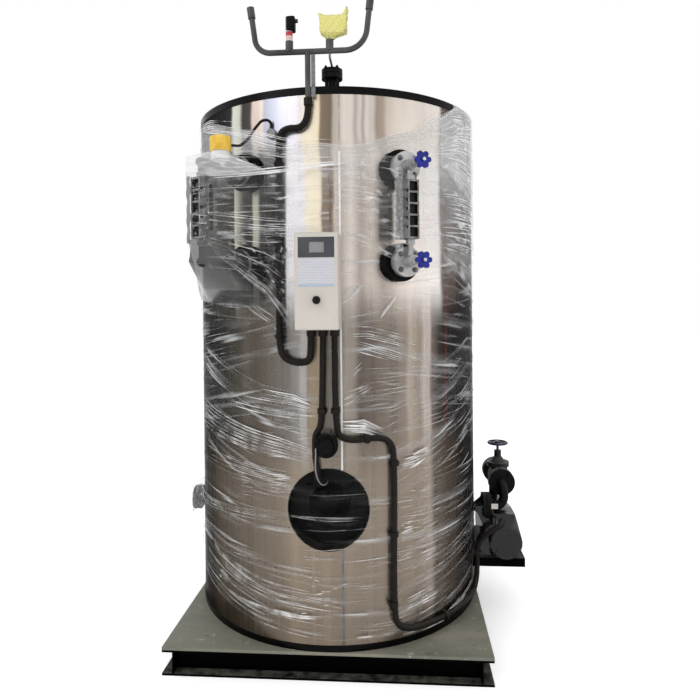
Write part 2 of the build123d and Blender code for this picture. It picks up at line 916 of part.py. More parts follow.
def top_nozzle():
    plane = upright(tee_controller_x, impulse_y, cover_top)
    neck = rod(plane, top_nozzle_neck_r, top_nozzle_flange_z - cover_top)
    lower = rod(plane, top_nozzle_r, top_nozzle_flange_t, top_nozzle_flange_z - cover_top)
    return neck + lower


def top_nozzle_blank():
    z = top_nozzle_flange_z + top_nozzle_flange_t
    gasket = rod(upright(tee_controller_x, impulse_y, z), top_nozzle_r - blank_gasket_inset, gasket_gap)
    return gasket + rod(upright(tee_controller_x, impulse_y, z + gasket_gap), top_nozzle_r, top_nozzle_flange_t)


def feed_nozzle():
    port = facing_right(0, feed_y, feed_z)
    neck = rod(port, feed_pipe_r, feed_flange_x)
    neck += rod(port, feed_flange_r, feed_flange_t, feed_flange_x - feed_flange_t)
    reach = feed_flange_x - feed_flange_t
    start = sqrt(shell_r ** 2 - feed_y ** 2) - feed_gusset_sink
    for way in (-1, 1):
        tip = feed_z + way * feed_gusset_rise
        gusset = Polyline((start, feed_z), (reach, feed_z), (reach, tip), close=True)
        web = facing_front(0, feed_y + feed_gusset_t / 2, 0) * make_face(gusset)
        neck += extrude(web, feed_gusset_t)
    neck -= shell_core(vessel_r)
    return neck.solids().sort_by(Axis.X)[-1]


def feed_pipe():
    face_x = feed_flange_x + gasket_gap
    points = [
        (face_x, feed_y, feed_z),
        (feed_x, feed_y, feed_z),
        (feed_x, feed_y, valve_z),
        (feed_x, valve_face_y, valve_z),
    ]
    bend = min(feed_bend, 0.49 * valve_rise)
    route = FilletPolyline(*points, radius=[bend, bend])
    body = pipe(route, feed_pipe_r)
    body += rod(facing_right(face_x, feed_y, feed_z), feed_flange_r, feed_flange_t)
    body += rod(facing_right(feed_flange_x, feed_y, feed_z), feed_flange_r - gasket_inset, gasket_gap)
    body += rod(facing_front(feed_x, valve_face_y, valve_z), valve_flange_r, valve_flange_t)
    return body


def feed_valve_body():
    front = facing_front(feed_x, valve_end_y, valve_z)
    half = valve_len / 2
    bulge = ThreePointArc((valve_port_r, -half), (valve_body_r, 0), (valve_port_r, half))
    outline = Polyline((valve_port_r, half), (0, half), (0, -half), (valve_port_r, -half))
    turned = upright(feed_x, valve_mid_y, valve_z)
    axis = Axis((feed_x, valve_mid_y, valve_z), (0, 1, 0))
    body = revolve(turned * make_face(bulge + outline), axis)
    body += rod(front, valve_flange_r, valve_flange_t)
    body += rod(front, valve_flange_r, valve_flange_t, valve_len - valve_flange_t)
    body += rod(front, valve_flange_r - gasket_inset, gasket_gap, valve_len)
    body += rod(upright(feed_x, valve_mid_y, valve_z), valve_neck_r, bonnet_base_z - valve_z)
    half_flange = bonnet_flange_t / 2
    body += rod(upright(feed_x, valve_mid_y, bonnet_base_z - half_flange), bonnet_flange_r, half_flange)
    return body


def feed_valve_bonnet():
    y = valve_mid_y
    profile = Polyline(
        (0, bonnet_base_z), (bonnet_flange_r, bonnet_base_z),
        (bonnet_flange_r, bonnet_base_z + bonnet_flange_t / 2),
        (bonnet_flange_r - bonnet_step, bonnet_base_z + bonnet_flange_t / 2),
        (bonnet_neck_r, bonnet_base_z + bonnet_flange_t / 2 + bonnet_dome_h),
        (bonnet_neck_r, bonnet_top_z), (0, bonnet_top_z), close=True)
    face = facing_front(feed_x, y, 0) * make_face(profile)
    bonnet = revolve(face, Axis((feed_x, y, 0), (0, 0, 1)))
    depth = valve_spindle_in + spindle_end_gap
    hole = rod(upright(feed_x, y, bonnet_top_z - depth), valve_spindle_r + run_fit, depth)
    return bonnet - hole


def feed_valve_wheel():
    y = valve_mid_y
    plane = upright(feed_x, y, valve_wheel_z)
    rim = plane * Torus(valve_wheel_r - valve_wheel_rim_r, valve_wheel_rim_r)
    hub = rod(plane, valve_wheel_hub_r, valve_wheel_hub_h, -valve_wheel_hub_h / 2)
    wheel = rim + hub
    span = valve_wheel_r - valve_wheel_rim_r
    for index in range(valve_wheel_spokes):
        turn = 360 * index / valve_wheel_spokes
        spoke = Pos(span / 2, 0, 0) * Box(span, valve_wheel_spoke_w, valve_wheel_spoke_t)
        wheel += plane * Rot(0, 0, turn) * spoke
    bottom = bonnet_top_z - valve_spindle_in
    return wheel + rod(upright(feed_x, y, bottom), valve_spindle_r, valve_wheel_z - bottom)


def feed_riser():
    points = [
        (feed_x, valve_end_y, valve_z),
        (feed_x, riser_y, valve_z),
        (feed_x, riser_y, pump_z + pump_r + pump_port_h),
    ]
    body = pipe(FilletPolyline(*points, radius=[riser_bend]), feed_pipe_r)
    return body + rod(facing_front(feed_x, valve_end_y + valve_flange_t, valve_z), valve_flange_r, valve_flange_t)


def feed_pump():
    """Pump casing behind the motor, with a discharge neck up to the riser."""
    front = facing_front(feed_x, pump_end_y, pump_z)
    body = rod(front, pump_r, pump_end_y - motor_back_y)
    body += rod(upright(feed_x, riser_y, pump_z), pump_port_r, pump_r + pump_port_h)
    foot_y = motor_back_y + pump_foot_set
    body += block(feed_x - pump_foot_w / 2, feed_x + pump_foot_w / 2, foot_y, foot_y + pump_foot_d, shelf_z, pump_z)
    return body


def feed_motor():
    front = facing_front(feed_x, motor_back_y, pump_z)
    body = rod(front, motor_r, motor_len)
    for index in range(motor_fin_count):
        turn = 360 * index / motor_fin_count
        groove = Box(2 * motor_fin_depth, motor_fin_w, motor_len - 2 * motor_end)
        body -= front * Rot(0, 0, turn) * Pos(motor_r, 0, motor_len / 2) * groove
    body += block(feed_x - terminal_w / 2, feed_x + terminal_w / 2, terminal_y, terminal_y + terminal_d,
                  pump_z, pump_z + motor_r + terminal_h)
    cover = facing_front(feed_x, motor_front_y + fan_cover_len, pump_z)
    hood = rod(cover, fan_cover_r, fan_cover_len)
    body += chamfer(hood.edges().sort_by(Axis.Y)[0], fan_cover_chamfer)
    foot_y = motor_front_y + motor_foot_set
    body += block(feed_x - pump_foot_w / 2, feed_x + pump_foot_w / 2, foot_y, foot_y + motor_foot_d,
                  shelf_z, pump_z - motor_r / 2)
    return body


def pump_shelf():
    """Plate with angle edges, held by the base ring side of the shell."""
    start = shell_r / 2
    plate = block(start, shelf_x1, shelf_y0, shelf_y1, shelf_z - shelf_t, shelf_z)
    for y in (shelf_y0, shelf_y1 - shelf_angle_t):
        plate += block(start, shelf_x1, y, y + shelf_angle_t, shelf_z - shelf_angle, shelf_z)
    plate += block(shelf_x1 - shelf_angle_t, shelf_x1, shelf_y0, shelf_y1, shelf_z - shelf_angle, shelf_z)
    plate -= shell_core(shell_r)
    return plate.solids().sort_by(Axis.X)[-1]


def side_nozzle():
    plane = outward(side_nozzle_angle, 0, side_nozzle_z)
    neck = rod(plane, side_neck_r, shell_r + side_reach)
    neck -= shell_core(vessel_r)
    neck = neck.solids().sort_by(Axis.X)[0]
    return neck + rod(plane, side_flange_r, side_flange_t, shell_r + side_reach)


def side_blank():
    start = shell_r + side_reach + side_flange_t
    plane = outward(side_nozzle_angle, start, side_nozzle_z)
    return rod(plane, side_flange_r - gasket_inset, gasket_gap) + rod(plane, side_flange_r, side_blank_t, gasket_gap)


def film_corner(side, reach, x):
    """Point on a gauge's outer face, a film's thickness out, at a local X."""
    plane = gauge_plane(side, reach)
    spot = plane.origin + plane.z_dir * (gauge_w / 2 + film_lift) + plane.x_dir * x
    return Vector(spot.X, spot.Y, 0)


def film_end(corner, way, angle=None):
    """Point where a film pulled from a corner first lies on the shell, or where it ends at an angle before that."""
    r = shell_r + film_gap + film_t / 2
    reach = sqrt(corner.X ** 2 + corner.Y ** 2)
    turn = degrees(atan2(corner.X, -corner.Y)) + way * degrees(acos(r / reach))
    if angle is None:
        return polar(turn, r, 0)
    return polar(angle, r / cos(radians(angle - turn)), 0)


def film_panel(start, end, start_low, start_high, end_low, end_high):
    """Flat sheet between two upright lines."""
    run = end - start
    along = run.normalized()
    plane = Plane(origin=start, x_dir=along, z_dir=(along.Y, -along.X, 0))
    outline = Polyline((0, start_low), (run.length, end_low), (run.length, end_high), (0, start_high), close=True)
    return extrude(plane * make_face(outline), film_t / 2, both=True)


def film_left():
    outer = film_corner(-1, gauge_left_reach, -gauge_body_t / 2)
    inner = film_corner(-1, gauge_left_reach, gauge_body_t / 2 + gauge_cover_t)
    outer_end = film_end(outer, -1)
    inner_end = film_end(inner, 1, film_left_end)
    group = [
        film_panel(outer, outer_end, film_left_low, film_left_high, film_left_shell_low, film_left_shell_high),
        film_panel(inner, inner_end, film_inner_low, film_left_high, film_inner_low, film_left_shell_high),
    ]
    return Compound(children=[solid for piece in group for solid in piece.solids()])


def film_right():
    outer = film_corner(1, gauge_right_reach, gauge_body_t / 2)
    inner = film_corner(1, gauge_right_reach, -gauge_body_t / 2 - gauge_cover_t)
    outer_end = film_end(outer, 1)
    inner_end = film_end(inner, -1, film_right_end)
    group = [
        film_panel(outer, outer_end, film_right_low, film_right_high, film_right_shell_low, film_right_shell_high),
        film_panel(inner, inner_end, film_inner_low, film_right_high, film_inner_low, film_left_shell_high),
    ]
    return Compound(children=[solid for piece in group for solid in piece.solids()])


def on_shell(angle, z):
    """Point of a conduit's centre line along the cladding."""
    return polar(angle, conduit_path_r, z)


def route(points):
    """Straight runs joined by arcs as large as the runs allow."""
    radii = []
    for before, corner, after in zip(points, points[1:], points[2:]):
        turn = radians((corner - before).get_angle(after - corner))
        shorter = min((corner - before).length, (after - corner).length)
        radii.append(0.45 * shorter / tan(turn / 2))
    return FilletPolyline(*points, radius=radii)


def gland_x(index):
    return gland_middle_x + (index - 1) * gland_pitch


def gland_point(index, z):
    return Vector(gland_x(index), gland_y, z)


def header_conduit_points():
    top = leg_bottom_z - leg_fitting_h
    low = box_bottom_z - box_gland_h
    return [
        Vector(leg_x, header_y, top),
        Vector(leg_x, header_y, hose_shelf_z - hose_sag),
        on_shell(hose_angle, hose_shelf_z + hose_sag),
        on_shell(left_run_angle, hose_shelf_z - left_run_top),
        on_shell(left_run_angle - 0.4, u_turn_z + u_turn_lead),
        on_shell(left_run_angle - 0.3, u_turn_z),
        gland_point(0, u_turn_z),
        gland_point(0, low),
    ]


def burner_conduit_points():
    low = box_bottom_z - box_gland_h
    port_top = burner_z + port_r
    return [
        gland_point(1, low),
        gland_point(1, low - gland_straight),
        on_shell(-0.1, clip_row_z - clip_row_below),
        on_shell(-1.8, inspect_z + inspect_flange_r),
        on_shell(-2.5, inspect_z + inspect_neck_r),
        on_shell(-2.4, inspect_z - inspect_flange_r - conduit_r),
        on_shell(-1.9, port_top + conduit_r),
        on_shell(-1.8, port_top - 2 * conduit_r),
        Vector(burner_x - burner_lead_left, burner_plate_y - burner_lead_out, port_top - burner_lead_down),
    ]


def pump_conduit_points():
    low = box_bottom_z - box_gland_h
    points = [
        gland_point(2, low),
        gland_point(2, low - gland_straight),
        on_shell(4.5, clip_row_z - clip_row_below),
        on_shell(6.0, cross_z),
        on_shell(11.5, cross_z - cross_sag),
        on_shell(18.4, cross_z),
        on_shell(23.0, cross_z - 2 * cross_sag),
        on_shell(24.6, cross_z - cross_drop),
        on_shell(23.6, low_run_z + low_bend),
        on_shell(25.6, low_run_z + low_bend / 4),
        on_shell(31.0, low_run_z),
    ]
    points += [on_shell(angle, low_run_z) for angle in (41, 51, 61)]
    points += [
        on_shell(69, low_run_z + riser_lift),
        on_shell(74, low_run_z + low_bend / 2),
        on_shell(75, low_run_z + low_bend),
        on_shell(75.2, pump_z + riser_lift),
        Vector(feed_x - motor_r, motor_front_y - lead_front, pump_z + motor_r),
        Vector(terminal_port_x, terminal_y - lead_straight, terminal_port_z),
        Vector(terminal_port_x, terminal_y, terminal_port_z),
    ]
    return points


def cap_lead_points():
    """A thin lead from the nub's underside to the port's plate, above the burner's way in."""
    x = inspect_x - inspect_cap_r - 10
    y = -(shell_r + inspect_reach + inspect_flange_t + inspect_cap_t / 2)
    z = inspect_z - inspect_nub_r
    return [
        Vector(x, y, z),
        Vector(x, y, z - 30),
        Vector(x - 3, y, z - 70),
        Vector(x + 2, y + 2, z - 108),
        Vector(x + 14, y + 13, z - 140),
        Vector(x + 26, y + 48, z - 155),
        Vector(x + 32, burner_plate_y - 37, z - 158),
        Vector(x + 32, burner_plate_y, z - 158),
    ]


def sensor_conduit_points():
    """From the level sensor's cap in an arch to the top of the junction cap."""
    low_z = gauge_high_z + sensor_body_h + sensor_cap_h / 2
    centre = polar(-gauge_angle, shell_r + sensor_reach, low_z)
    target = polar(junction_angle, shell_r + junction_t / 2, junction_z + junction_r)
    gap = Vector(target.X - centre.X, target.Y - centre.Y, 0)
    across = gap.normalized()
    start = centre + across * sensor_cap_r
    up = target.Z - low_z
    return [
        start,
        start + across * 34,
        start + across * 68 + Vector(0, 0, 0.35 * up),
        start + across * 92 + Vector(0, 0, 0.85 * up),
        target + across * -40 + Vector(0, 0, 28),
        target + across * -14 + Vector(0, 0, 34),
        target + Vector(0, 0, 22),
        target,
    ]


def cap_lead():
    return pipe(route(cap_lead_points()), cap_lead_r)


def sensor_conduit():
    return pipe(route(sensor_conduit_points()), sensor_conduit_r)


def header_conduit():
    return pipe(route(header_conduit_points()), conduit_r)


def burner_conduit():
    return pipe(route(burner_conduit_points()), conduit_r)


def pump_conduit():
    return pipe(route(pump_conduit_points()), conduit_r)


def conduit_clip(points, index, share):
    """Saddle round the run after a point of a route, with its foot on the cladding."""
    start = points[index]
    end = points[index + 1]
    centre = start + (end - start) * share
    along = (end - start).normalized()
    out = Vector(centre.X, centre.Y, 0).normalized()
    plane = Plane(origin=centre, x_dir=out, z_dir=along)
    half = conduit_r + clip_t
    depth = conduit_r + 2 * conduit_off
    saddle = extrude(plane.offset(-clip_w / 2) * Circle(half), clip_w)
    saddle += plane * Pos(-depth / 2, 0, 0) * Box(depth, 2 * half, clip_w)
    return saddle - shell_core(shell_r)


def conduit_clips():
    left = header_conduit_points()
    middle = burner_conduit_points()
    right = pump_conduit_points()
    places = [(left, 3, 0.06), (left, 3, 0.5), (left, 3, 0.94), (middle, 1, 0.82), (right, 1, 0.82),
              (right, 4, 0.5), (right, 7, 0.05), (right, 7, 0.5), (right, 7, 0.94), (right, 11, 0.5),
              (right, 16, 0.6)]
    solids = []
    for points in (left, middle, right):
        conduit = pipe(route(points), conduit_r)
        for place in places:
            if place[0] is points:
                solids += (conduit_clip(*place) - conduit).solids()
    return Compound(children=solids)


def conduit_fittings():
    """Glands under the control box, the leg's end fitting and the nuts round the conduits."""
    low = box_bottom_z - box_gland_h
    group = [rod(Plane(origin=gland_point(index, low)), box_gland_r, box_gland_h) for index in range(3)]
    group.append(rod(upright(leg_x, header_y, leg_bottom_z - leg_fitting_h), leg_fitting_r, leg_fitting_h))
    return Compound(children=[solid for piece in group for solid in piece.solids()])


makers = {
    "skid_frame": skid_frame,
    "base_plate": base_plate,
    "shell_base_ring": shell_base_ring,
    "pressure_vessel": pressure_vessel,
    "cladding_shell": cladding_shell,
    "top_rim_band": top_rim_band,
    "top_cover": top_cover,
    "flue_collar": flue_collar,
    "steam_outlet": steam_outlet,
    "safety_valve_nozzle": safety_valve_nozzle,
    "burner_collar": burner_collar,
    "burner_plate": burner_plate,
    "inspection_nozzle": inspection_nozzle,
    "inspection_cap": inspection_cap,
    "stub_collars": stub_collars,
    "stub_flanges": stub_flanges,
    "right_gauge_cocks": right_gauge_cocks,
    "left_gauge_arms": left_gauge_arms,
    "level_sensor": level_sensor,
    "level_sensor_cap": level_sensor_cap,
    "upper_cock_wheel": upper_cock_wheel,
    "lower_cock_wheel": lower_cock_wheel,
    "junction_cap": junction_cap,
    "control_box": control_box,
    "panel_rails": panel_rails,
    "panel_face": panel_face,
    "display_window": display_window,
    "selector_knob": selector_knob,
    "instrument_header": instrument_header,
    "header_support": header_support,
    "pressure_transmitter": pressure_transmitter,
    "pressure_controller": pressure_controller,
    "impulse_pipe": impulse_pipe,
    "top_nozzle": top_nozzle,
    "top_nozzle_blank": top_nozzle_blank,
    "feed_nozzle": feed_nozzle,
    "feed_pipe": feed_pipe,
    "feed_valve_body": feed_valve_body,
    "feed_valve_bonnet": feed_valve_bonnet,
    "feed_valve_wheel": feed_valve_wheel,
    "feed_riser": feed_riser,
    "feed_pump": feed_pump,
    "feed_motor": feed_motor,
    "pump_shelf": pump_shelf,
    "side_nozzle": side_nozzle,
    "side_blank": side_blank,
    "film_left": film_left,
    "film_right": film_right,
    "cap_lead": cap_lead,
    "sensor_conduit": sensor_conduit,
    "header_conduit": header_conduit,
    "burner_conduit": burner_conduit,
    "pump_conduit": pump_conduit,
    "conduit_clips": conduit_clips,
    "conduit_fittings": conduit_fittings,
}

for name, make in makers.items():
    parts[name] = make()
parts["gauge_bodies"] = both_gauges(gauge_body)
parts["gauge_covers"] = both_gauges(gauge_cover)
parts["gauge_glasses"] = both_gauges(gauge_glass)

os.makedirs("parts", exist_ok=True)
for name, shape in parts.items():
    export_step(shape, f"parts/{name}.step")
    print(name, len(shape.solids()), round(shape.volume / 1e3, 1))
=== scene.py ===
import json
import random
from math import cos, pi, radians, sin

import bpy
from mathutils import Matrix, Vector

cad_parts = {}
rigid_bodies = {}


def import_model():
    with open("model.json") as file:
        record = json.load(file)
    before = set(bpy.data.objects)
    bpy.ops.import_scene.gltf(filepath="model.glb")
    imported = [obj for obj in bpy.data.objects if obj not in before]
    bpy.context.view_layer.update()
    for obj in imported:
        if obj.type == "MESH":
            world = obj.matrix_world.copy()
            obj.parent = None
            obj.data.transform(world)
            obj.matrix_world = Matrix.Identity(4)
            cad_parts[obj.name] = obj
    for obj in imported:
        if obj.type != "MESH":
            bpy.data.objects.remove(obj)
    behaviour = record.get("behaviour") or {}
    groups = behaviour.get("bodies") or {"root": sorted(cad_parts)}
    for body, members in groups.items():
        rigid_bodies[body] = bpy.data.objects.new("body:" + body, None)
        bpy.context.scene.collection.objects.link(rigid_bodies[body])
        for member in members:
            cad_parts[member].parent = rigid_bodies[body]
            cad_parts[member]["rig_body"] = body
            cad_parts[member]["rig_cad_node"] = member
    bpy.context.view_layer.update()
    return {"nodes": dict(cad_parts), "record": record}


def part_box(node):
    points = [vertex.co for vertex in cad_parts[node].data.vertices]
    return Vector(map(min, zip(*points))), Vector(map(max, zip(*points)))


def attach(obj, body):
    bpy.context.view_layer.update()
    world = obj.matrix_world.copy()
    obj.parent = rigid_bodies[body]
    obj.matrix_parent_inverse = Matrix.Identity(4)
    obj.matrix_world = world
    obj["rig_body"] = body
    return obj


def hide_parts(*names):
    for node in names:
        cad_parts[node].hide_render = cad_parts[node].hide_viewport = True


# %% [markdown]
# Vertical steam boiler, wrapped in stretch film, on its channel skid.
# The CAD nodes give every solid its size and place. This script adds the finish, the stretch film,
# the ribbed conduits, the bolts and the small dressings that a solid model leaves out.

# %% Load the frame
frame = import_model()
nodes = frame["nodes"]
record = frame["record"]
# %% Sizes read from the frame, in metres
shell_low, shell_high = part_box("cladding_shell")
SHELL_R = shell_high.x
TOP_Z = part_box("top_rim_band")[1].z
BOX_LOW, BOX_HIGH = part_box("control_box")
GAUGE_ANGLE = radians(26.7)
GAUGE_Z = (1.625, 1.990)
STUB_REACH = 0.084
STUB_FLANGE_T = 0.014
STUB_PITCH_R = 0.0425
LEFT_REACH = 0.276
RIGHT_REACH = 0.119
print("shell radius", round(SHELL_R, 4), "top", round(TOP_Z, 4))


# %% Small helpers for places round the shell
def centre(node):
    """Middle of a node's box."""
    low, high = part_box(node)
    return (low + high) / 2


def around(angle, r, z):
    """Point at an angle round the shell, in radians from the front, positive to the right."""
    return Vector((r * sin(angle), -r * cos(angle), z))


def facing(angle, r, z):
    """Matrix at that point whose local Z looks outward and local Y up."""
    right = Vector((cos(angle), sin(angle), 0))
    turn = Matrix((right, Vector((0, 0, 1)), around(angle, 1, 0))).transposed()
    return Matrix.Translation(around(angle, r, z)) @ turn.to_4x4()


def looking(point, direction):
    """Matrix at a point whose local Z follows a direction."""
    turn = Vector(direction).to_track_quat("Z", "Y").to_matrix().to_4x4()
    return Matrix.Translation(Vector(point)) @ turn


def link(thing):
    """Puts a new object in the scene."""
    bpy.context.scene.collection.objects.link(thing)
    return thing


def put(thing, **values):
    """Sets several of a thing's properties."""
    for key, value in values.items():
        setattr(thing, key, value)
    return thing


# %% Camera at the photograph's angle
CAMERA_AT = Vector((0.3005, -3.0093, 1.4935))
CAMERA_YAW = 0.0725
CAMERA_ROLL = -0.0095
camera_data = put(bpy.data.cameras.new("camera"), lens=31.4, shift_x=-0.0067, shift_y=-0.0763)
camera = link(bpy.data.objects.new("camera", camera_data))
level = Matrix.Rotation(CAMERA_YAW, 4, "Z") @ Matrix.Rotation(radians(90), 4, "X")
camera.matrix_world = Matrix.Translation(CAMERA_AT) @ level @ Matrix.Rotation(CAMERA_ROLL, 4, "Z")
bpy.context.scene.camera = camera
bpy.context.scene.view_settings.view_transform = "Standard"


# %% Node helpers
finishes = {}
work = {}


def rgba(colour):
    """Linear colour from display values, or from one grey; a socket stays as it is."""
    if isinstance(colour, bpy.types.NodeSocket):
        return colour
    if isinstance(colour, (int, float)):
        colour = (colour, colour, colour)
    return tuple((c / 255) ** 2.2 for c in colour) + (1,)


def wire(node, **inputs):
    """Sets or links inputs, by name with _ for a space, or by number as i0."""
    for key, value in inputs.items():
        socket = node.inputs[int(key[1:]) if key[1:].isdigit() else key.replace("_", " ")]
        if isinstance(value, bpy.types.NodeSocket):
            node.id_data.links.new(value, socket)
        else:
            socket.default_value = value


def add(kind, settings=None, **inputs):
    """Adds a shader node to the tree at work, sets and wires it, and gives its first output."""
    made = put(work["tree"].nodes.new("ShaderNode" + kind), **(settings or {}))
    wire(made, **inputs)
    return made.outputs[0]


def maths(kind, first, second=0, third=0):
    """One math node's result."""
    return add("Math", {"operation": kind}, i0=first, i1=second, i2=third)


def times(first, second):
    """Product of two values."""
    return maths("MULTIPLY", first, second)


def gap(value, other):
    """Distance between two values."""
    return maths("ABSOLUTE", maths("SUBTRACT", value, other))


def spread(value, low, high, to_low=0, to_high=1, settings=None):
    """Maps a value from one range to another, clamped."""
    return add("MapRange", settings, Value=value, From_Min=low, From_Max=high, To_Min=to_low, To_Max=to_high)


def usual(mask, to_low, to_high):
    """Range from the usual contrast of a noise mask."""
    return spread(mask, 0.3, 0.7, to_low, to_high)


def mixed(share, first, second, kind="MIX"):
    """Mixes two colours."""
    return add("Mix", {"data_type": "RGBA", "blend_type": kind}, i0=share, i6=rgba(first),
               i7=rgba(second)).node.outputs[2]


def ramp(value, stops, blend="EASE"):
    """Colour ramp with (place, colour) stops."""
    result = add("ValToRGB", Fac=value)
    result.node.color_ramp.interpolation = blend
    elements = result.node.color_ramp.elements
    while len(elements) < len(stops):
        elements.new(0.5)
    for element, (place, colour) in zip(elements, stops):
        element.position = place
        element.color = rgba(colour)
    return result


def local():
    """Object coordinates."""
    return add("TexCoord").node.outputs["Object"]


def axes(vector):
    """X, Y and Z of a vector."""
    return add("SeparateXYZ", Vector=vector).node.outputs


def noise(vector, scale, detail=3, roughness=0.55):
    """Noise mask from 0 to 1."""
    return add("TexNoise", Vector=vector, Scale=scale, Detail=detail, Roughness=roughness)


def stretched(scale):
    """Object coordinates, scaled along each axis."""
    return add("Mapping", Vector=local(), Scale=scale)


def bumped(height, strength, distance=0.001):
    """Normal from a height mask."""
    return add("Bump", Height=height, Strength=strength, Distance=distance)


def blank(name):
    """Starts a finish, sets its tree to work, and gives its principled shader."""
    finishes[name] = bpy.data.materials.new(name)
    finishes[name].use_nodes = True
    work["tree"] = finishes[name].node_tree
    return work["tree"].nodes["Principled BSDF"]


# %% Shared effect: mottled grain with dust, which on the frame is also painted light on lit tops
def grain_group():
    """Group with a mottle mask, dust on upward faces that on the frame also stands for painted light, and a
    fine height.
    """
    group = bpy.data.node_groups.new("grain", "ShaderNodeTree")
    for name, way, kind in (("Scale", "INPUT", "Float"), ("Stretch", "INPUT", "Vector"),
                            ("Mottle", "OUTPUT", "Float"), ("Dust", "OUTPUT", "Float"),
                            ("Height", "OUTPUT", "Float")):
        group.interface.new_socket(name, in_out=way, socket_type="NodeSocket" + kind)
    work["tree"] = group
    given = group.nodes.new("NodeGroupInput").outputs
    result = group.nodes.new("NodeGroupOutput")
    place = local()
    mapped = add("VectorMath", {"operation": "MULTIPLY"}, i0=place, i1=given["Stretch"])
    up = axes(add("NewGeometry").node.outputs["Normal"])[2]
    specks = spread(noise(place, 24, 5), 0.30, 0.62)
    wire(result, Mottle=noise(mapped, given["Scale"], 4, 0.5),
         Dust=times(spread(up, 0.3, 1), specks),
         Height=noise(mapped, times(given["Scale"], 14), 2, 0.5))
    return group


GRAIN = grain_group()


def finish(name, dark, light, rough, metallic=0, scale=8, stretch=(1, 1, 1), bump=0.15, dust=0.25,
           dust_and_lit_top_colour=(150, 146, 138), shine=0.5):
    """Mottled colour and roughness, fine bump and dust on upward faces, on the frame also painted light on
    lit tops.
    """
    shader = blank(name)
    grain = add("Group", {"node_tree": GRAIN}, Scale=scale, Stretch=stretch).node.outputs
    mottle = spread(grain["Mottle"], 0.3, 0.7)
    colour = mixed(times(grain["Dust"], dust), mixed(mottle, dark, light), dust_and_lit_top_colour)
    wire(shader, Base_Color=colour, Roughness=spread(mottle, 0, 1, *rough),
         Normal=bumped(grain["Height"], bump), Metallic=metallic, Specular_IOR_Level=shine)


# %% Bright cladding sheet, with painted reflections
# Stops of the painted reflections that the polished sheet shows, as (degrees from the front, red, green,
# blue) or (degrees, grey): above the film, behind the gauges, round the waist and at the foot.
TOP_REFLECTIONS = [
    (-75, 70), (-59, 56), (-36, 60), (-34.8, 222, 222, 210), (-31.5, 204, 204, 188), (-30, 72, 70, 67),
    (-26, 78, 76, 72), (-25.2, 206, 188, 178), (-21.2, 202, 186, 177), (-20, 156, 158, 172),
    (-17, 166, 168, 182), (-13.5, 184, 184, 194), (-8, 205, 202, 210), (-5, 238, 226, 206),
    (-0.4, 238, 222, 190), (0.4, 126, 113, 98), (4.1, 122, 109, 95), (4.8, 184, 174, 161),
    (8.6, 220, 210, 199), (11.4, 214, 206, 198), (12.4, 174, 164, 155), (14.2, 214, 206, 198),
    (15.2, 160, 149, 138), (16.4, 214, 206, 200), (18.8, 196, 187, 179), (20, 146, 134, 122),
    (22.4, 152, 141, 129), (24, 186, 175, 164), (40, 221, 212, 203), (46.4, 230, 222, 214),
    (48, 108, 96, 90), (70, 54, 48, 46),
]
UPPER_REFLECTIONS = [
    (-75, 90, 86, 80), (-45, 78, 74, 69), (-35, 56, 53, 49), (-34.4, 190, 190, 176), (-31.4, 112, 108, 99),
    (-29.8, 62, 58, 55), (-26, 60, 56, 53), (-25.4, 172, 172, 156), (-23.4, 168, 166, 152),
    (-22.6, 56, 54, 51), (-17.8, 50, 47, 45), (-17.2, 22, 20, 20), (-13.8, 20, 18, 18), (-13, 238, 235, 240),
    (-6, 243, 239, 242), (-4.8, 252, 241, 216), (-0.2, 249, 235, 205), (0.6, 133, 117, 103),
    (4, 122, 106, 94), (4.8, 206, 195, 185), (7.6, 190, 178, 168), (10.5, 220, 210, 201),
    (14, 172, 160, 151), (18, 208, 196, 186), (22, 166, 153, 144), (27, 206, 194, 184), (38, 248, 239, 232),
    (46, 255, 250, 246), (48, 108, 96, 91), (70, 62, 55, 53), (75, 34, 38, 64), (80, 38, 66, 124),
]
WAIST_REFLECTIONS = [
    (-75, 52, 54, 58), (-49, 50, 49, 47), (-42, 56, 53, 50), (-33, 70, 65, 58), (-29, 92, 86, 78),
    (-25, 82, 74, 65), (-18, 104, 97, 90), (-12, 116, 111, 106), (-8.4, 140, 136, 133),
    (-7.4, 170, 167, 164), (-5.6, 168, 165, 161), (-5, 144, 129, 110), (-0.6, 146, 131, 112),
    (0.2, 106, 102, 94), (6, 118, 111, 103), (8, 148, 140, 130), (10.8, 144, 135, 125), (13, 98, 89, 83),
    (25, 120, 110, 100), (30, 134, 124, 114), (31.4, 170, 157, 144), (33.6, 162, 149, 136),
    (36, 142, 130, 119), (38, 186, 175, 167), (40.6, 180, 169, 161), (41.6, 112, 101, 94),
    (45.6, 54, 47, 44), (48.7, 44, 38, 36), (49.4, 98, 48, 45), (50.2, 42, 36, 34), (68, 32, 30, 32),
    (78, 20, 26, 52),
]
LOWER_REFLECTIONS = [
    (-75, 84, 77, 70), (-60, 84, 76, 69), (-45, 94, 86, 76), (-30, 107, 97, 87), (-16, 122, 111, 98),
    (-10, 148, 134, 118), (-2, 143, 129, 114), (8, 142, 129, 116), (22, 137, 125, 112), (34, 140, 127, 114),
    (40, 155, 143, 133), (43, 96, 87, 79), (52, 78, 70, 63), (70, 56, 49, 45),
]


def streaks(turn, stops):
    """Ramp of painted reflections round the visible side, repeated with a mirror at the back."""
    low = stops[0][0]
    span = stops[-1][0] - low
    mirrored = maths("PINGPONG", maths("SUBTRACT", turn, low), span)
    places = [((angle - low) / span, colour if len(colour) == 3 else colour[0]) for angle, *colour in stops]
    return ramp(maths("DIVIDE", mirrored, span), places, "LINEAR")


EDGE_TINT = 110
# Place of the right gauge's painted dark reflection on the sheet: degrees round the shell and height.
GAUGE_REFLECTION_TURN = 23
GAUGE_REFLECTION_Z = 1.81


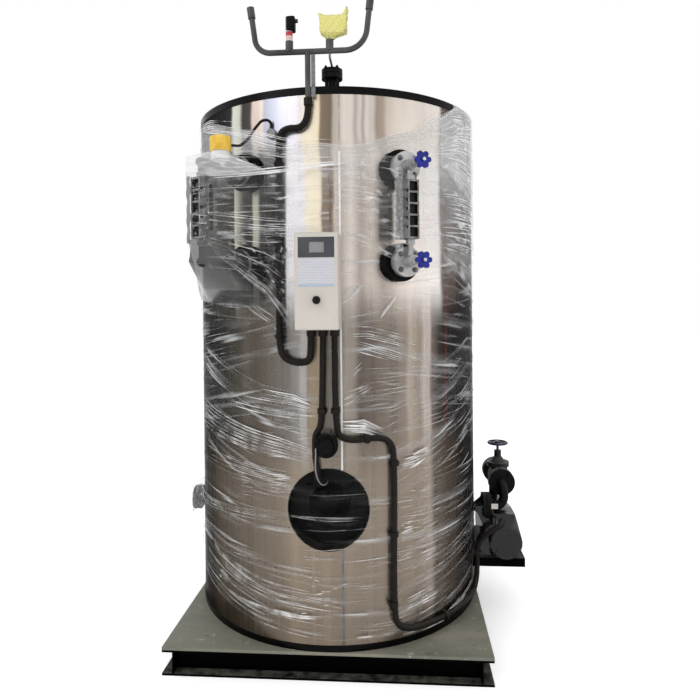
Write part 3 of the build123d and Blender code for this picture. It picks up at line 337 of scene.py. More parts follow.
def cladding_material():
    """Polished sheet with painted reflections: upright streaks, warm tones below, the right gauge's dark
    mirror image.
    """
    shader = blank("bright_cladding")
    place = local()
    x, y, z = axes(place)
    turn = times(maths("ARCTAN2", x, times(y, -1)), 180 / pi)
    wander = spread(noise(stretched((0.6, 0.6, 1.4)), 2.2, 2), 0.3, 0.7, -0.8, 0.8)
    turn = maths("ADD", turn, wander)
    height = maths("ADD", z, spread(noise(place, 2), 0.3, 0.7, -0.05, 0.05))
    colour = streaks(turn, LOWER_REFLECTIONS)
    for low, high, stops in ((0.72, 1.06, WAIST_REFLECTIONS), (1.34, 1.6, UPPER_REFLECTIONS),
                             (2.04, 2.13, TOP_REFLECTIONS)):
        share = spread(height, low, high, settings={"interpolation_type": "SMOOTHSTEP"})
        colour = mixed(share, colour, streaks(turn, stops))
    # Fine upright lines: the sheet's brushing, and fine painted reflection streaks.
    lines = noise(stretched((10, 10, 0.10)), 3, 1, 0.4)
    colour = mixed(0.25, colour, ramp(lines, [(0.32, 160), (0.5, 188), (0.68, 210)]), "OVERLAY")
    # Painted reflection: a dark patch where the right gauge is mirrored; the sheet is also darker towards the
    # foot.
    mirrored = times(spread(gap(turn, GAUGE_REFLECTION_TURN), 2.2, 3.2, 1, 0),
                     spread(gap(z, GAUGE_REFLECTION_Z), 0.08, 0.11, 1, 0))
    tone = times(spread(z, 0.13, 0.45, 0.86, 1), maths("MULTIPLY_ADD", mirrored, -0.72, 1))
    shade = add("CombineColor", Red=tone, Green=tone, Blue=tone)
    ripple = noise(stretched((3, 3, 1)), 3, 2)
    wire(shader, Base_Color=mixed(1, colour, shade, "MULTIPLY"), Specular_Tint=rgba(EDGE_TINT), Metallic=0.88,
         Roughness=usual(lines, 0.2, 0.34), Normal=bumped(ripple, 0.12, 0.02))


# %% Base plate paint
def plate_material():
    """Grey-green paint with dust spots, scuffs and smeared patches."""
    shader = blank("plate_paint")
    place = local()
    patches = noise(stretched((1, 2.2, 1)), 2.4, 5)
    colour = ramp(patches, [(0.3, (100, 100, 91)), (0.5, (119, 118, 105)), (0.7, (134, 130, 117))])
    spots = spread(noise(place, 26, 6, 0.7), 0.6, 0.68, 0, 0.75)
    dark_spots = spread(noise(stretched((1, 1.6, 1)), 16, 6, 0.75), 0.62, 0.66, 0, 0.8)
    colour = mixed(dark_spots, mixed(spots, colour, (168, 168, 156)), (44, 46, 40))
    wire(shader, Base_Color=colour, Roughness=usual(patches, 0.42, 0.75),
         Normal=bumped(noise(place, 180), 0.2))


# %% Every other finish
def glass_material(name, colour, alpha, rough, smears=200):
    """Clear piece seen through, with slight smears."""
    shader = blank(name)
    smear = noise(stretched((4, 4, 1)), 6)
    wire(shader, Roughness=usual(smear, *rough), Base_Color=mixed(smear, colour, smears), Alpha=alpha)


def ribbed_yellow():
    """Yellow screw cap with upright grip ribs round its own axis."""
    shader = blank("yellow_plastic")
    middle = centre("level_sensor_cap")
    place = local()
    moved = add("Mapping", Vector=place, Location=(-middle.x, -middle.y, 0))
    x, y, _ = axes(moved)
    ribs = maths("SINE", times(maths("ARCTAN2", y, x), 28))
    mottle = noise(place, 30)
    wire(shader, Base_Color=ramp(mottle, [(0.3, (222, 172, 44)), (0.7, (242, 200, 80))]),
         Roughness=usual(mottle, 0.3, 0.45), Normal=bumped(ribs, 0.5, 0.002))


def banded_transmitter():
    """Steel foot, a red and a white band, and a black plug, by height."""
    shader = blank("transmitter_body")
    low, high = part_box("pressure_transmitter")
    place = local()
    share = spread(axes(place)[2], low.z, high.z)
    tones = [(0, 214), (0.05, (226, 190, 186)), (0.21, (188, 36, 50)), (0.38, 210), (0.44, 16)]
    grime = noise(place, 90)
    wire(shader, Base_Color=mixed(times(grime, 0.3), ramp(share, tones, "CONSTANT"), 60),
         Roughness=usual(grime, 0.3, 0.5))


def gauge_material():
    """Cast gauge body: pale ribs on its front, and the open cells behind them painted dark as shade."""
    shader = blank("gauge_cells")
    place = local()
    x, y, _ = axes(place)
    sideways = times(maths("ABSOLUTE", x), sin(GAUGE_ANGLE))
    out = maths("MULTIPLY_ADD", y, -cos(GAUGE_ANGLE), sideways)
    near, far = [gap(out, SHELL_R + reach + 0.030) for reach in (RIGHT_REACH, LEFT_REACH)]
    front = spread(maths("MINIMUM", near, far), 0.002, 0.004, 1, 0)
    grime = noise(place, 60)
    # Painted shade: all that is set back from the rib fronts is near black.
    wire(shader, Base_Color=mixed(front, 20, ramp(grime, [(0.3, 96), (0.7, 142)])),
         Roughness=usual(grime, 0.35, 0.55), Specular_IOR_Level=0.2)


# The frame's near black is its black paint made darker as painted shade; its heavy dust on upward faces is
# dust and also painted light on the lit tops of its flanges.
finish("frame_paint", 1, 5, (0.45, 0.7), scale=5, dust=0.95, dust_and_lit_top_colour=(88, 88, 82), shine=0.03)
plate_material()
finish("black_trim", 4, 12, (0.18, 0.4), scale=9, dust=0.05, shine=0.10)
finish("vessel_steel", 26, 40, (0.5, 0.8))
cladding_material()
finish("cover_sheet", 40, 54, (0.4, 0.65), dust=0.22)
finish("flue_steel", 140, 176, (0.25, 0.45), 0.9, 6, (1, 1, 8))
finish("black_steel", 5, 14, (0.35, 0.6), scale=12, dust=0.08, shine=0.12)
finish("black_rubber", 6, 16, (0.45, 0.7), scale=10, dust=0.1, shine=0.12)
finish("flange_steel", 168, 208, (0.25, 0.4), 0.85, 14, (1, 1, 1))
finish("cock_steel", 150, 190, (0.3, 0.5), 0.6, 20, bump=0.3)
finish("sensor_body", 214, 232, (0.3, 0.45))
ribbed_yellow()
finish("blue_paint", (12, 24, 108), (24, 40, 146), (0.25, 0.4), scale=24, dust=0.05, shine=0.3)
finish("dark_blue_paint", (18, 22, 50), (34, 40, 74), (0.25, 0.5), scale=20, shine=0.35)
finish("grey_plastic", 118, 140, (0.4, 0.6))
finish("box_paint", (192, 186, 178), (204, 198, 190), (0.32, 0.45), scale=6, bump=0.25, dust=0.1)
finish("rail_steel", 96, 130, (0.3, 0.5), 0.8, 10, (1, 1, 6))
finish("dark_glass", (42, 44, 48), (66, 68, 72), (0.08, 0.2), scale=5, bump=0.02, dust=0)
finish("black_plastic", (18, 13, 11), (30, 23, 20), (0.35, 0.6), scale=30, dust=0.1, shine=0.2)
finish("grey_pipe", 52, 78, (0.3, 0.5), 0.3, 14)
banded_transmitter()
glass_material("bag_plastic", (232, 226, 120), 0.8, (0.25, 0.4), (246, 240, 160))
finish("cast_valve", (22, 24, 21), (42, 44, 39), (0.4, 0.65), 0.1, 26, bump=0.5, dust=0.3, shine=0.3)
finish("motor_paint", (20, 26, 30), (34, 42, 46), (0.35, 0.6), scale=10, dust=0.3, shine=0.3)
glass_material("gauge_glass", (26, 29, 29), 0.9, (0.05, 0.2), 70)
glass_material("stretch_film", (235, 238, 240), 0.3, (0.15, 0.35))
gauge_material()
finish("gauge_dark", 26, 50, (0.35, 0.55), 0.3, 20, bump=0.3, dust=0.1, shine=0.3)
finish("cover_grey", 70, 116, (0.3, 0.5), 0.5, 24, bump=0.3, dust=0.1)
OWN_LOOK = {"gauge_bodies": "gauge_cells", "left_gauge_arms": "gauge_dark", "gauge_covers": "cover_grey"}
for part in record["subparts"]:
    materials = nodes[part["node"]].data.materials
    materials.clear()
    materials.append(finishes[OWN_LOOK.get(part["node"], part["material_slot"])])
print(len(record["subparts"]), "nodes dressed with", len(finishes), "finishes")

# %% Floor, world and lights
bpy.ops.mesh.primitive_plane_add(size=40, location=(0, 0, 0))
floor = bpy.context.object
floor.name = "floor"
floor_shader = blank("floor")
floor_tone = noise(stretched((1, 1, 1)), 0.6, 2)
floor_path = add("LightPath")
wire(floor_shader, Base_Color=ramp(floor_tone, [(0.3, 248), (0.7, 254)]), Emission_Color=(1, 1, 1, 1),
     Emission_Strength=times(floor_path, 0.35), Roughness=0.9, Specular_IOR_Level=0.1)
floor.data.materials.append(finishes["floor"])

world = bpy.data.worlds.new("studio")
bpy.context.scene.world = world
world.use_nodes = True
wire(world.node_tree.nodes["Background"], Color=(1, 1, 1, 1), Strength=1)

for name, at, target, size, power in (("key", (-2.6, -3.4, 4.2), (0, 0, 1.3), 2.4, 28),
                                      ("fill", (3.2, -2.6, 2.4), (0, 0, 1.2), 2, 6)):
    light = link(bpy.data.objects.new(name, put(bpy.data.lights.new(name, "AREA"), size=size, energy=power)))
    light.matrix_world = looking(at, Vector(at) - Vector(target))


def choose(*pieces):
    """Chooses these pieces alone, or none, and makes the first one active."""
    bpy.ops.object.select_all(action="DESELECT")
    for piece in pieces:
        piece.select_set(True)
    if pieces:
        bpy.context.view_layer.objects.active = pieces[0]


def edit(action=None):
    """Enters edit mode, with all of the piece chosen or none of it."""
    bpy.ops.object.mode_set(mode="EDIT")
    if action is not None:
        bpy.ops.mesh.select_all(action=action)


def leave():
    """Back from edit mode."""
    bpy.ops.object.mode_set(mode="OBJECT")


def named(name, place=None, material=None, body="boiler"):
    """Names the new piece, moves its mesh by a point or a matrix, and gives it a finish and a body."""
    piece = bpy.context.object
    piece.name = name
    piece.data.transform(piece.matrix_world)
    piece.matrix_world = Matrix.Identity(4)
    if place is not None:
        piece.data.transform(place if isinstance(place, Matrix) else Matrix.Translation(place))
    if material is not None:
        piece.data.materials.append(finishes[material])
    if body is not None:
        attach(piece, body)
    return piece


def copied(piece, name, place):
    """Copy of a piece with its own mesh, moved by a matrix."""
    other = link(piece.copy())
    other.data = piece.data.copy()
    other.name = name
    other.data.transform(place)
    return other


def joined(pieces, name):
    """Several pieces as one."""
    choose(*pieces)
    bpy.ops.object.join()
    whole = bpy.context.object
    whole.name = name
    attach(whole, "boiler")
    return whole


def bevelled(piece, width, segments=2):
    """Rounded edges, applied."""
    choose(piece)
    put(piece.modifiers.new("round", "BEVEL"), width=width, segments=segments, limit_method="ANGLE")
    bpy.ops.object.modifier_apply(modifier="round")
    bpy.ops.object.shade_smooth_by_angle(angle=radians(40))
    return piece


def rod(r, depth, middle=0, vertices=12, **options):
    """Upright cylinder round the Z axis."""
    choose()
    bpy.ops.mesh.primitive_cylinder_add(vertices=vertices, radius=r, depth=depth, location=(0, 0, middle),
                                        **options)


def block(size):
    """Box of a size round the origin."""
    choose()
    bpy.ops.mesh.primitive_cube_add(size=1)
    bpy.context.object.scale = size
    bpy.ops.object.transform_apply(scale=True)


def grid(columns, rows, spot):
    """Grid whose points lie where spot(share, up) puts them, both from 0 to 1."""
    choose()
    bpy.ops.mesh.primitive_grid_add(x_subdivisions=columns, y_subdivisions=rows, size=1)
    for vertex in bpy.context.object.data.vertices:
        vertex.co = spot(vertex.co.x + 0.5, vertex.co.y + 0.5)
    bpy.ops.object.shade_smooth()


# %% [markdown]
# Hex bolts. A six-sided head with a crowned top stands on a thin washer. One is made and copied to each
# place on the flange faces that the CAD gives.

# %% Bolts
def bolt(name, r, height, material):
    """Hex head on a washer, its foot at the origin and its top along +Z."""
    rod(r, height, height / 2 + 0.001, 6)
    head = bevelled(named(name + "_head", body=None), r * 0.14)
    rod(r * 1.25, 0.002, 0.001, 20)
    washer = named(name + "_washer", body=None)
    rod(r * 0.55, r * 0.8, height + r * 0.3)
    tip = bevelled(named(name + "_tip", body=None), r * 0.1)
    whole = joined([head, washer, tip], name)
    whole.data.materials.append(finishes[material])
    return whole


def bolt_group(name, places, r, height, material="black_steel"):
    """The same bolt at each matrix, as one piece."""
    first = bolt(name + "_first", r, height, material)
    others = [copied(first, f"{name}_{index}", place) for index, place in enumerate(places)]
    bpy.data.objects.remove(first)
    group = joined(others, name)
    print(name, len(places), "bolts,", len(group.data.polygons), "faces")


def ring_places(base, pitch_r, count=4):
    """Matrices round a circle on a face, the first one half a step past its X axis."""
    turns = [pi / count + 2 * pi * index / count for index in range(count)]
    return [base @ Matrix.Translation((pitch_r * cos(t), pitch_r * sin(t), 0)) for t in turns]


stub_places = []
for side in (-1, 1):
    for level_z in GAUGE_Z:
        stub_face = facing(side * GAUGE_ANGLE, SHELL_R + STUB_REACH + STUB_FLANGE_T, level_z)
        stub_places += ring_places(stub_face, STUB_PITCH_R)
bolt_group("stub_bolts", stub_places, 0.009, 0.008, "rail_steel")

INSPECT = Vector((0.018, 0, 0.926))
inspect_face = looking((INSPECT.x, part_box("inspection_nozzle")[0].y, INSPECT.z), (0, -1, 0))
bolt_group("inspection_bolts", ring_places(inspect_face, 0.037, 6), 0.006, 0.006)

blank_middle = centre("top_nozzle_blank")
blank_top = looking((blank_middle.x, blank_middle.y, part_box("top_nozzle_blank")[1].z), (0, 0, 1))
blank_places = ring_places(blank_top, 0.0315)
bolt_group("blank_bolts", blank_places, 0.007, 0.007)

FEED_FACE_X = 0.717
FEED_Y = -0.110
FEED_Z = 0.505
VALVE_Z = 0.603
feed_face = looking((FEED_FACE_X, FEED_Y, FEED_Z), (1, 0, 0))
bolt_group("feed_flange_bolts", ring_places(feed_face, 0.050), 0.010, 0.009)
valve_face = looking((centre("feed_valve_body").x, FEED_Y + 0.066 - 0.018, VALVE_Z), (0, -1, 0))
bolt_group("valve_bolts", ring_places(valve_face, 0.048), 0.010, 0.009)


# %% [markdown]
# Ribbed conduits. Each run is one short ribbed collar, repeated by an array and bent along the run's
# smooth line, so its even pitch closes up inside the bends, as in real hose.

# %% Conduits
RIB_PITCH = 0.0085
ROOT = 0.86
CONDUIT_R = 0.014
PATH_R = SHELL_R + 0.005 + CONDUIT_R


def spline_curve(name, points):
    """Smooth open line through a route's control points."""
    data = put(bpy.data.curves.new(name, "CURVE"), dimensions="3D")
    spline = data.splines.new("NURBS")
    spline.points.add(len(points) - 1)
    for target, point in zip(spline.points, points):
        target.co = (*point, 1)
    put(spline, order_u=3, use_endpoint_u=True, resolution_u=12)
    return link(bpy.data.objects.new(name, data))


def ribbed_conduit(name, node, r, route):
    """Corrugated hose for a CAD conduit; a pair in its route is (degrees, z) on the cladding."""
    route = [around(radians(at[0]), PATH_R, at[1]) if len(at) == 2 else at for at in route]
    line = spline_curve(name + "_line", route)
    rod(r * ROOT, RIB_PITCH, vertices=16, end_fill_type="NOTHING")
    rib = bpy.context.object
    rib.rotation_euler = (0, radians(90), 0)
    bpy.ops.object.transform_apply(location=True, rotation=True)
    edit("SELECT")
    bpy.ops.transform.translate(value=(RIB_PITCH / 2, 0, 0))
    for share in (0.3, 0.7):
        bpy.ops.mesh.select_all(action="SELECT")
        bpy.ops.mesh.bisect(plane_co=(RIB_PITCH * share, 0, 0), plane_no=(1, 0, 0))
    leave()
    for vertex in rib.data.vertices:
        if 0.2 * RIB_PITCH < vertex.co.x < 0.8 * RIB_PITCH:
            vertex.co.y *= 1 / ROOT
            vertex.co.z *= 1 / ROOT
    put(rib.modifiers.new("repeat", "ARRAY"), fit_type="FIT_CURVE", curve=line, use_merge_vertices=True,
        merge_threshold=0.0002)
    put(rib.modifiers.new("bend", "CURVE"), object=line, deform_axis="POS_X")
    choose(rib)
    bpy.ops.object.modifier_apply(modifier="repeat")
    bpy.ops.object.modifier_apply(modifier="bend")
    bpy.ops.object.shade_smooth_by_angle(angle=radians(50))
    bpy.data.objects.remove(line)
    hose = named(name, material="black_plastic")
    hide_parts(node)
    print(name, len(hose.data.polygons), "faces")


THIN_R = 0.0125
GLAND_Y = BOX_HIGH.y - 0.020
GLAND_X = (0.007 - 0.0455, 0.007, 0.007 + 0.0455)
GLAND_LOW = BOX_LOW.z - 0.028
LEG = Vector((-0.043, centre("instrument_header").y, TOP_Z - 0.050))
HOSE_Z = TOP_Z - 0.162
CLIP_Z = 1.048
U_TURN_Z = 1.245
LOW_RUN_Z = 0.172
CROSS_Z = 0.946
PORT = Vector((0.018, -0.588, 0.665))
PORT_R = 0.1615
MOTOR_X = centre("feed_motor").x
MOTOR_R = 0.070
PUMP_Z = 0.356
MOTOR_TOP = PUMP_Z + MOTOR_R

ribbed_conduit("header_hose", "header_conduit", CONDUIT_R, [
    (LEG.x, LEG.y, LEG.z - 0.028), (LEG.x, LEG.y, HOSE_Z - 0.005), (-13.6, HOSE_Z + 0.005),
    (-14.2, HOSE_Z - 0.090), (-14.6, U_TURN_Z + 0.115), (-14.2, U_TURN_Z + 0.030), (-10.8, U_TURN_Z - 0.004),
    (GLAND_X[0] - 0.006, GLAND_Y + 0.004, U_TURN_Z - 0.006), (GLAND_X[0], GLAND_Y, U_TURN_Z + 0.060),
    (GLAND_X[0], GLAND_Y, GLAND_LOW),
])
ribbed_conduit("burner_hose", "burner_conduit", THIN_R, [
    (GLAND_X[1], GLAND_Y, GLAND_LOW), (GLAND_X[1], GLAND_Y, GLAND_LOW - 0.040), (-0.1, CLIP_Z - 0.050),
    (-1.8, INSPECT.z + 0.046), (-2.5, INSPECT.z + 0.026), (-2.4, INSPECT.z - 0.060),
    (-1.9, PORT.z + PORT_R + 0.014), (-1.8, PORT.z + PORT_R - 0.028),
    (PORT.x - 0.048, PORT.y - 0.034, PORT.z + PORT_R - 0.052),
])
ribbed_conduit("pump_hose", "pump_conduit", THIN_R, [
    (GLAND_X[2], GLAND_Y, GLAND_LOW), (GLAND_X[2], GLAND_Y, GLAND_LOW - 0.040), (4.5, CLIP_Z - 0.050),
    (6, CROSS_Z), (11.5, CROSS_Z - 0.009), (18.4, CROSS_Z), (23, CROSS_Z - 0.018), (24.6, CROSS_Z - 0.076),
    (23.6, LOW_RUN_Z + 0.080), (25.6, LOW_RUN_Z + 0.020), (31, LOW_RUN_Z), (41, LOW_RUN_Z),
    (51, LOW_RUN_Z), (61, LOW_RUN_Z), (69, LOW_RUN_Z + 0.004), (74, LOW_RUN_Z + 0.040),
    (75, LOW_RUN_Z + 0.080), (75.2, PUMP_Z + 0.004), (MOTOR_X - MOTOR_R, FEED_Y - 0.062 - 0.024, MOTOR_TOP),
    (MOTOR_X - 0.016, FEED_Y - 0.020 - 0.060, MOTOR_TOP + 0.024),
    (MOTOR_X - 0.016, FEED_Y - 0.020, MOTOR_TOP + 0.024),
])


# %% [markdown]
# The thin grey lead from the inspection cap is a free cord that ends on the port's plate, so it is a curve
# with a round section and keeps the route of the CAD tube.

# %% Thin lead
LEAD_X = INSPECT.x - 0.028 - 0.010
LEAD_Y = -(SHELL_R + 0.042 + 0.014 + 0.007)
LEAD_Z = INSPECT.z - 0.006
lead_route = [
    (LEAD_X, LEAD_Y, LEAD_Z), (LEAD_X, LEAD_Y, LEAD_Z - 0.030), (LEAD_X - 0.003, LEAD_Y, LEAD_Z - 0.070),
    (LEAD_X + 0.002, LEAD_Y + 0.002, LEAD_Z - 0.108), (LEAD_X + 0.014, LEAD_Y + 0.013, LEAD_Z - 0.140),
    (LEAD_X + 0.026, LEAD_Y + 0.048, LEAD_Z - 0.155), (LEAD_X + 0.032, PORT.y - 0.037, LEAD_Z - 0.158),
    (LEAD_X + 0.032, PORT.y, LEAD_Z - 0.158),
]
thin_lead = spline_curve("thin_lead", lead_route)
put(thin_lead.data, bevel_depth=0.0025, bevel_resolution=3)
thin_lead.data.materials.append(finishes["grey_plastic"])
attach(thin_lead, "boiler")
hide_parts("cap_lead")
lead_length = sum((Vector(b) - Vector(a)).length for a, b in zip(lead_route, lead_route[1:]))
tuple(lead_route[0])
print("thin lead", round(lead_length, 3), "m of runs")


# %% Printed sheet under the window
def print_material():
    """Pale sheet with plain ruled rows and a blue foot line, bare of any words."""
    shader = blank("panel_print")
    height = axes(local())[2]
    rows = spread(maths("SINE", times(height, 620)), 0.55, 0.8)
    breaks = noise(stretched((90, 1, 60)), 1, 2)
    marks = times(rows, spread(breaks, 0.45, 0.55))
    colour = mixed(times(marks, 0.35), (196, 196, 202), (110, 130, 160))
    foot = spread(height, 1.5415, 1.5425, 1, 0)
    wire(shader, Base_Color=mixed(times(foot, 0.4), colour, (120, 160, 190)),
         Roughness=usual(breaks, 0.2, 0.4))


# %% [markdown]
# Stretch film. Real film is a band half a metre wide, wound round in slow spirals and pulled over the
# gauges like a tent. Each band is a grid whose columns follow stations round the shell, so the streaks of
# the material run along the pull. The film is thin, so only its streaks and edges show white, and that
# white is partly painted highlight.

# %% Film material
def film_material(name, lines, patches, base, strong, tint=(244, 246, 248), clear_tone=205, fade=0, end=1):
    """Clear film with white streaks along its pull, partly its own white and partly painted highlight, from
    its own UV, faded at its low edge.
    """
    shader = blank(name)
    uv = add("TexCoord").node.outputs["UV"]
    along, up, _ = axes(uv)

    def patched(x, y):
        return add("Mapping", Vector=uv, Scale=(patches * x, patches * y, 1))

    def lined(x, y, z):
        return add("CombineXYZ", X=times(along, patches * x), Y=times(across, lines * y), Z=z)

    across = maths("ADD", up, times(noise(patched(1.4, 0.7), 1, 2), 0.10))
    broad = spread(noise(lined(1.4, 1, 0), 1, 2, 0.5), 0.54, 0.74)
    thin = spread(noise(lined(3, 2, 4), 1, 1, 0.4), 0.58, 0.70)
    cover = spread(noise(patched(2.2, 1.6), 1, 3, 0.6), 0.38, 0.64, 0.05, 1)
    mask = times(maths("MAXIMUM", times(broad, 0.75), thin), cover)
    mask = maths("MAXIMUM", mask, spread(gap(up, 0.5), 0.486, 0.498, 0, 0.35))
    spot = local()
    flat = add("VectorMath", {"operation": "MULTIPLY"}, i0=spot, i1=(1, 0, 1))
    away = add("VectorMath", {"operation": "DISTANCE"}, i0=flat, i1=(PORT.x, 0, PORT.z))
    away = away.node.outputs["Value"]
    clear = maths("MAXIMUM", spread(away, 0.155, 0.165, 0.12, 1), spread(axes(spot)[1], -0.1, 0.1))
    if fade > 0:
        clear = times(clear, spread(across, 0.05, fade))
    if end < 1:
        clear = times(clear, spread(along, end, 0.98, 1, 0))
    mask = times(mask, clear)
    wire(shader, Alpha=maths("MULTIPLY_ADD", mask, strong - base, times(clear, base)),
         Base_Color=mixed(mask, clear_tone, tint), Roughness=spread(mask, 0, 1, 0.12, 0.38),
         Normal=bumped(maths("ADD", broad, thin), 0.25, 0.002))


def crease_material(name, strong, faint=0.06):
    """Folded edge of film, white as a painted highlight, broken here and there along its run."""
    shader = blank(name)
    breaks = noise(local(), 13, 2)
    wire(shader, Alpha=spread(breaks, 0.34, 0.62, faint, strong),
         Base_Color=ramp(breaks, [(0.3, 236), (0.7, 254)]), Roughness=usual(breaks, 0.15, 0.4))


finish("bag_case", (226, 216, 128), (240, 232, 160), (0.4, 0.6), scale=20, dust=0)
print_material()
film_material("film_band", 10, 4, 0.02, 0.5)
film_material("film_tent", 8, 1.6, 0.05, 0.6)
finish("seam_highlight", 226, 246, (0.3, 0.45), scale=5, dust=0)
# The folds are real; their white is painted highlight.
crease_material("film_crease", 0.85)
crease_material("film_glint", 0.6)
crease_material("film_rope", 0.97, 0.55)
film_material("film_crumple", 34, 1.5, 0.22, 0.95)
film_material("film_cap", 5, 1.2, 0.5, 0.95, clear_tone=216)
film_material("film_lip", 4, 1, 0.9, 0.95, (126, 126, 128), 110)
film_material("film_crinkle", 9, 7, 0.15, 0.75)
film_material("film_veil", 9, 2.2, 0.28, 0.7, clear_tone=240, fade=0.7)
film_material("film_corner", 26, 0.7, 0.36, 0.98, clear_tone=236, fade=0.5, end=0.72)
film_material("film_haze", 5, 1.2, 0.82, 0.9, (124, 121, 110), 84, 0.3)
film_material("film_dark", 4, 1.5, 0.88, 0.92, (38, 43, 46), 12)
film_material("film_sheer", 9, 2, 0.2, 0.7, fade=0.3)


FILM_R = SHELL_R + 0.004
ROPE_R = FILM_R + 0.004
FINE = (0.001, 0.0025)
THIN = (0.001, 0.003)
MIDDLE = (0.0018, 0.004)
BRIGHT = (0.003, 0.0048)
WIDE = (0.003, 0.007)
CREASE_STEPS = 18
CREASE_RISE = 0.002
LEAN = 0.05


def sheet_spot(stations, share, up, rise):
    """Point on a band: share runs through its stations, up from its low to its high edge, both 0 to 1."""
    count = len(stations) - 1
    place = min(max(share, 0), 1) * count
    index = min(int(place), count - 1)
    part = place - index
    part = part * part * (3 - 2 * part) * 0.35 + part * 0.65
    ends = stations[index:index + 2]
    if abs(ends[1][1] - ends[0][1]) < 0.02:
        turn, r, low, high = [a + (b - a) * part for a, b in zip(*ends)]
        spot = around(radians(turn), r, low + (high - low) * up)
    else:
        start, end = [around(radians(turn), r, low + (high - low) * up) for turn, r, low, high in ends]
        spot = start.lerp(end, part)
    out = Vector((spot.x, spot.y, 0))
    return spot + out / out.length * max(rise, SHELL_R + 0.0025 + rise - out.length)


def film_sheet(name, stations, columns, rows, material, wrinkle, seed):
    """Band whose columns follow (angle, radius, low z, high z) stations, angles in degrees."""
    def spot(share, up):
        along = share * (len(stations) - 1)
        wave = sin(up * 23 + along * 2.1 + seed) * sin(along * 5.3 + up * 7 + seed * 2)
        return sheet_spot(stations, share, up, wrinkle * (wave + 1))

    grid(columns, rows, spot)
    return named(name, material=material)


def creases(name, stations, count, width, reach, seed):
    """Folds along a band: narrow ridges that taper to both ends, each at its own height and stretch."""
    choose()
    rows = 3 * count - 1
    bpy.ops.mesh.primitive_grid_add(x_subdivisions=CREASE_STEPS, y_subdivisions=rows, size=1)
    piece = bpy.context.object
    edit("DESELECT")
    bpy.ops.mesh.select_mode(type="FACE")
    leave()
    for face in piece.data.polygons:
        face.select = int((face.center.y + 0.5) * rows) % 3 == 2
    edit()
    bpy.ops.mesh.delete(type="FACE")
    leave()
    draw = random.Random(seed)
    folds = []
    for index in range(count):
        length = draw.uniform(*reach)
        start = draw.uniform(0, 1 - length)
        up = (index + draw.uniform(0.1, 0.9)) / count
        folds.append((start, length, up, draw.uniform(-LEAN, LEAN), draw.uniform(*width)))
    for vertex in piece.data.vertices:
        row = round((vertex.co.y + 0.5) * rows)
        start, length, up, slant, wide = folds[min(row // 3, count - 1)]
        side = row % 3 - 1
        along = vertex.co.x + 0.5
        taper = sin(pi * min(max(along, 0.02), 0.98)) ** 0.6
        rise = 0.003 + CREASE_RISE * taper * (1 - abs(side))
        spot = sheet_spot(stations, start + length * along, up + slant * (along - 0.5), rise)
        vertex.co = spot + Vector((0, 0, side * wide / 2 * taper))
    bpy.ops.object.shade_smooth()
    material = "film_rope" if width[0] >= 0.003 else "film_crease" if width[1] > 0.003 else "film_glint"
    return named(name, material=material)


def declared(pieces, name):
    """One sheet of film and its folds as one piece."""
    whole = joined(pieces, name) if len(pieces) > 1 else pieces[0]
    return whole


def film(name, stations, material, grid_size, wrinkle, seed, folds, width, reach, fold_seed):
    """Sheet of film and its folds, as one piece."""
    pieces = [film_sheet(name, stations, *grid_size, material, wrinkle, seed)]
    if folds:
        pieces.append(creases(name + "_folds", stations, folds, width, reach, fold_seed))
    return declared(pieces, name)


SHORT = (0.03, 0.1)


# %% Film bands round the shell
# Each band winds through (angle, middle z) spots and has its own width and seed.
BANDS = [
    ("film_low", 0.24, 1, (-180, 0.36), (-120, 0.42), (-85, 0.43), (-59, 0.39), (-24, 0.31), (2, 0.28),
     (23, 0.28), (50, 0.33), (90, 0.42), (135, 0.38), (180, 0.36)),
    ("film_belly", 0.34, 3, (-180, 0.6), (-120, 0.62), (-85, 0.64), (-40, 0.6), (0, 0.57), (40, 0.58),
     (90, 0.6), (135, 0.6), (180, 0.6)),
    ("film_middle", 0.42, 2, (-180, 0.92), (-120, 1.08), (-85, 1.16), (-57, 1.08), (-23, 0.94), (0, 0.89),
     (22, 0.9), (45, 1), (66, 1.1), (100, 1.06), (135, 0.98), (180, 0.92)),
    ("film_waist", 0.5, 4, (-180, 1.3), (-120, 1.25), (-85, 1.18), (-50, 1.22), (-15, 1.3), (20, 1.34),
     (55, 1.28), (90, 1.22), (135, 1.26), (180, 1.3)),
    ("film_chest", 0.52, 5, (-180, 1.72), (-120, 1.7), (-85, 1.7), (-50, 1.68), (-15, 1.66), (20, 1.68),
     (55, 1.72), (90, 1.76), (135, 1.74), (180, 1.72)),
]
for name, width, seed, *spots in BANDS:
    stations = [(angle, FILM_R, z - width / 2, z + width / 2) for angle, z in spots]
    film(name, stations, "film_band", (40 * len(spots), 24), 0.002, seed, 30, THIN, SHORT, 10 * seed)
TOP_EDGE = [(-180, 2.27), (-85, 2.27), (-53, 2.26), (-26, 2.16), (-14, 2.09), (0, 2.092), (8, 2.08),
            (16, 2.09), (24, 2.128), (32, 2.152), (42, 2.214), (57, 2.305), (85, 2.305), (180, 2.27)]
top_stations = [(angle, FILM_R, 1.9, z) for angle, z in TOP_EDGE]
film("film_top", top_stations, "film_veil", (400, 26), 0.002, 6, 30, THIN, SHORT, 60)


# %% [markdown]
# Film tents. Over each gauge the band leaves the shell and runs straight to the gauge's edge. A tent is
# the same grid with stations at two radii, and its folds fan out from the corner that pulls them.

# %% Film tents over the gauges
LEFT_R = SHELL_R + LEFT_REACH + 0.034
RIGHT_R = SHELL_R + RIGHT_REACH + 0.034
CORNER_R = FILM_R + 0.002
RIM_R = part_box("top_rim_band")[1].x + 0.003


def tent(name, stations, material, folds, seed=0, width=THIN, reach=(0.5, 1), stands_for=None):
    """Sheet of film pulled over something that stands out, with its folds."""
    columns = 30 * (len(stations) - 1)
    whole = film(name, stations, material, (columns, 26), 0.003, seed, folds, width, reach, seed)
    if stands_for is not None:
        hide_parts(stands_for)


